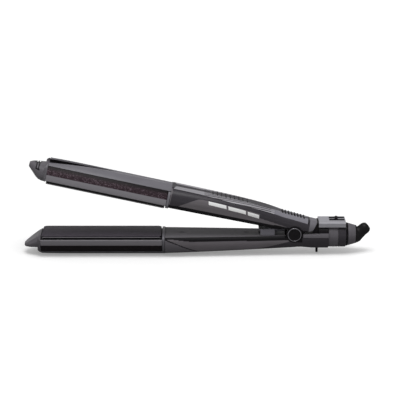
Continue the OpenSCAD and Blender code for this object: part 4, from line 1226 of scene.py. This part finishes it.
# -------- cord swivel
# The cone turns in the tail so that the cord does not twist. It is gloss black, with a grey
# band let in, and ends in a soft rubber outlet with a bore for the cord.
CONE_START = RING_END + 0.4
CONE_L = 9.5
CONE_R0 = 10.9
CONE_R1 = 8.2
CONE_SLOPE = (CONE_R0 - CONE_R1) / CONE_L
NECK_R = 5.9
NECK_X0 = RING_END - WALL - 3
BAND_X0 = 1.7
BAND_X1 = 8.7
BAND_DEPTH = 0.6
BAND_FIT = 0.05
CONE_END = CONE_START + CONE_L
CONE_TILT = math.radians(40)
OUTLET_R = 5.29
OUTLET_L = 8.4
OUTLET_ROOT = 1
CORD_R = 3.3
CORD_DEPTH = 6.5
MOUTH_ANGLE = math.acos(CORD_R / OUTLET_R)
MOUTH_STEPS = 7


def cone_r(x, sunk=0.0):
    """The cone's radius at a distance from its wide end, or that of a groove sunk into it."""
    return CONE_R0 - x * CONE_SLOPE - sunk


gloss_black = grained("gloss_black_abs", (900, 2), relief=(0.06, 0.03), Base_Color=linear("#121113"),
                      Roughness=0.22, **PLASTIC)
cone = turned("swivel_cone_body", [
    (NECK_X0, 0), (NECK_X0, NECK_R), (CONE_START, NECK_R), (CONE_START, CONE_R0),
    (CONE_START + BAND_X0, cone_r(BAND_X0)), (CONE_START + BAND_X0, cone_r(BAND_X0, BAND_DEPTH)),
    (CONE_START + BAND_X1, cone_r(BAND_X1, BAND_DEPTH)), (CONE_START + BAND_X1, cone_r(BAND_X1)),
    (CONE_END, CONE_R1), (CONE_END, 0)])
soften(cone, 0.2, 30)
seat(cone, TAIL, "swivel", gloss_black, "gloss_black_plastic", "swivel_cone")
x0, x1 = BAND_X0 + BAND_FIT, BAND_X1 - BAND_FIT
grey_band = turned("swivel_grey_band", [
    (CONE_START + x0, cone_r(BAND_X0, BAND_DEPTH)), (CONE_START + x0, cone_r(BAND_X0)),
    (CONE_START + x1, cone_r(BAND_X1)), (CONE_START + x1, cone_r(BAND_X1, BAND_DEPTH)),
    (CONE_START + x0, cone_r(BAND_X0, BAND_DEPTH))])
soften(grey_band, 0.15, 30)
seat(grey_band, TAIL, "swivel", tip_plastic, "cover_plastic", "swivel_band")
recoat(bright_metal, "swivel_retainer")

# Soft black rubber, moulded matt with a slight bloom
rubber = grained("moulded_tpe_rubber", (700, 4), relief=(0.2, 0.05), Base_Color=linear("#171618"),
                 Roughness=0.5, **PLASTIC)


def outlet_ring(centre, lean, radius, count=40):
    """One ring of the outlet: its middle, how far it leans up from upright, and its radius."""
    up = Vector((-math.sin(lean), 0, math.cos(lean)))
    return [centre + radius * (math.sin(2 * math.pi * i / count) * Vector((0, 1, 0))
                               + math.cos(2 * math.pi * i / count) * up) for i in range(count)]


# The outlet bends up out of the cone, runs straight, and closes round the cord's bore
bend_at = Vector((CONE_END + OUTLET_ROOT, 0, 0))
forward = Vector((math.cos(CONE_TILT), 0, math.sin(CONE_TILT)))
tip_at = bend_at + forward * OUTLET_L
mouth = tip_at + forward * OUTLET_R * math.sin(MOUTH_ANGLE)
rings = [outlet_ring(Vector((CONE_END, 0, 0)), 0, CONE_R1 - 0.1),
         outlet_ring(Vector((CONE_END + 0.8, 0, 0)), math.radians(4), 7.6),
         outlet_ring(Vector((CONE_END + 2.0, 0, 0.3)), math.radians(16), 6.8),
         outlet_ring(bend_at + forward * 2.6, math.radians(30), 6.0),
         outlet_ring(bend_at + forward * 4.4, CONE_TILT, 5.5)]
rings += [outlet_ring(bend_at + forward * (5.6 + step * 0.95), CONE_TILT, OUTLET_R) for step in range(4)]
for step in range(1, MOUTH_STEPS + 1):
    a = MOUTH_ANGLE * step / MOUTH_STEPS
    rings.append(outlet_ring(tip_at + forward * OUTLET_R * math.sin(a), CONE_TILT, OUTLET_R * math.cos(a)))
rings += [outlet_ring(mouth - forward * 0.3, CONE_TILT, CORD_R - 0.05),
          outlet_ring(mouth - forward * CORD_DEPTH, CONE_TILT, CORD_R - 0.1)]
outlet = lofted("cord_outlet_boot", rings)
soften(outlet, 0, 40)
seat(outlet, TAIL, "swivel", rubber, "outlet_rubber", "cord_outlet")

# -------- inner parts
# Behind the plates: alumina heaters, fuses, springs and sleeved wires. In the handles: screws
# and the control board. They keep their CAD shapes and take their real finishes.
ceramic = grained("alumina_ceramic", (1500, 4), tint=("#d9d5cc", "#e8e5dd"),
                  Roughness=0.55, IOR=1.7)

sleeving, tree, shader = finish("glass_braid_sleeving", Roughness=0.7, **PLASTIC)
place_on = node(tree, "TexCoord")
braid = node(tree, "TexWave", {"Scale": 420, "Distortion": 1.5}, {"Vector": place_on.outputs["Object"]},
             bands_direction="DIAGONAL")
tint = node(tree, "ValToRGB", links={"Fac": braid.outputs["Fac"]})
tones(tint, (0.0, "#bdb9b0"), (1.0, "#e6e2da"))
relief = node(tree, "Bump", {"Strength": 0.4, "Distance": 0.08 * MM}, {"Height": braid.outputs["Fac"]})
feed(tree, shader, Base_Color=tint.outputs["Color"], Normal=relief.outputs["Normal"])

laminate, tree, shader = finish("fr4_laminate_board", Roughness=0.35, IOR=1.5, Coat_Weight=0.4)
place_on = node(tree, "TexCoord")
tracks = node(tree, "TexBrick", {"Scale": 240, "Mortar Size": 0.03, "Color1": linear("#1f5a36"),
                                 "Color2": linear("#24663d"), "Mortar": linear("#3c8a55")},
              {"Vector": place_on.outputs["Object"]})
feed(tree, shader, Base_Color=tracks.outputs["Color"])

painted_steel = grained("grey_painted_steel", (1600, 2), tint=("#605d62", "#69666b"),
                        Roughness=0.5, **PLASTIC)

recoat(ceramic, "lower_heater", "upper_heater")
recoat(bright_metal, "lower_thermal_fuse", "upper_thermal_fuse", "lower_plate_springs",
       "upper_plate_springs")
recoat(painted_steel, "lower_shell_screws", "upper_shell_screws")
recoat(sleeving, "lower_wires", "upper_wires")
recoat(laminate, "control_board")
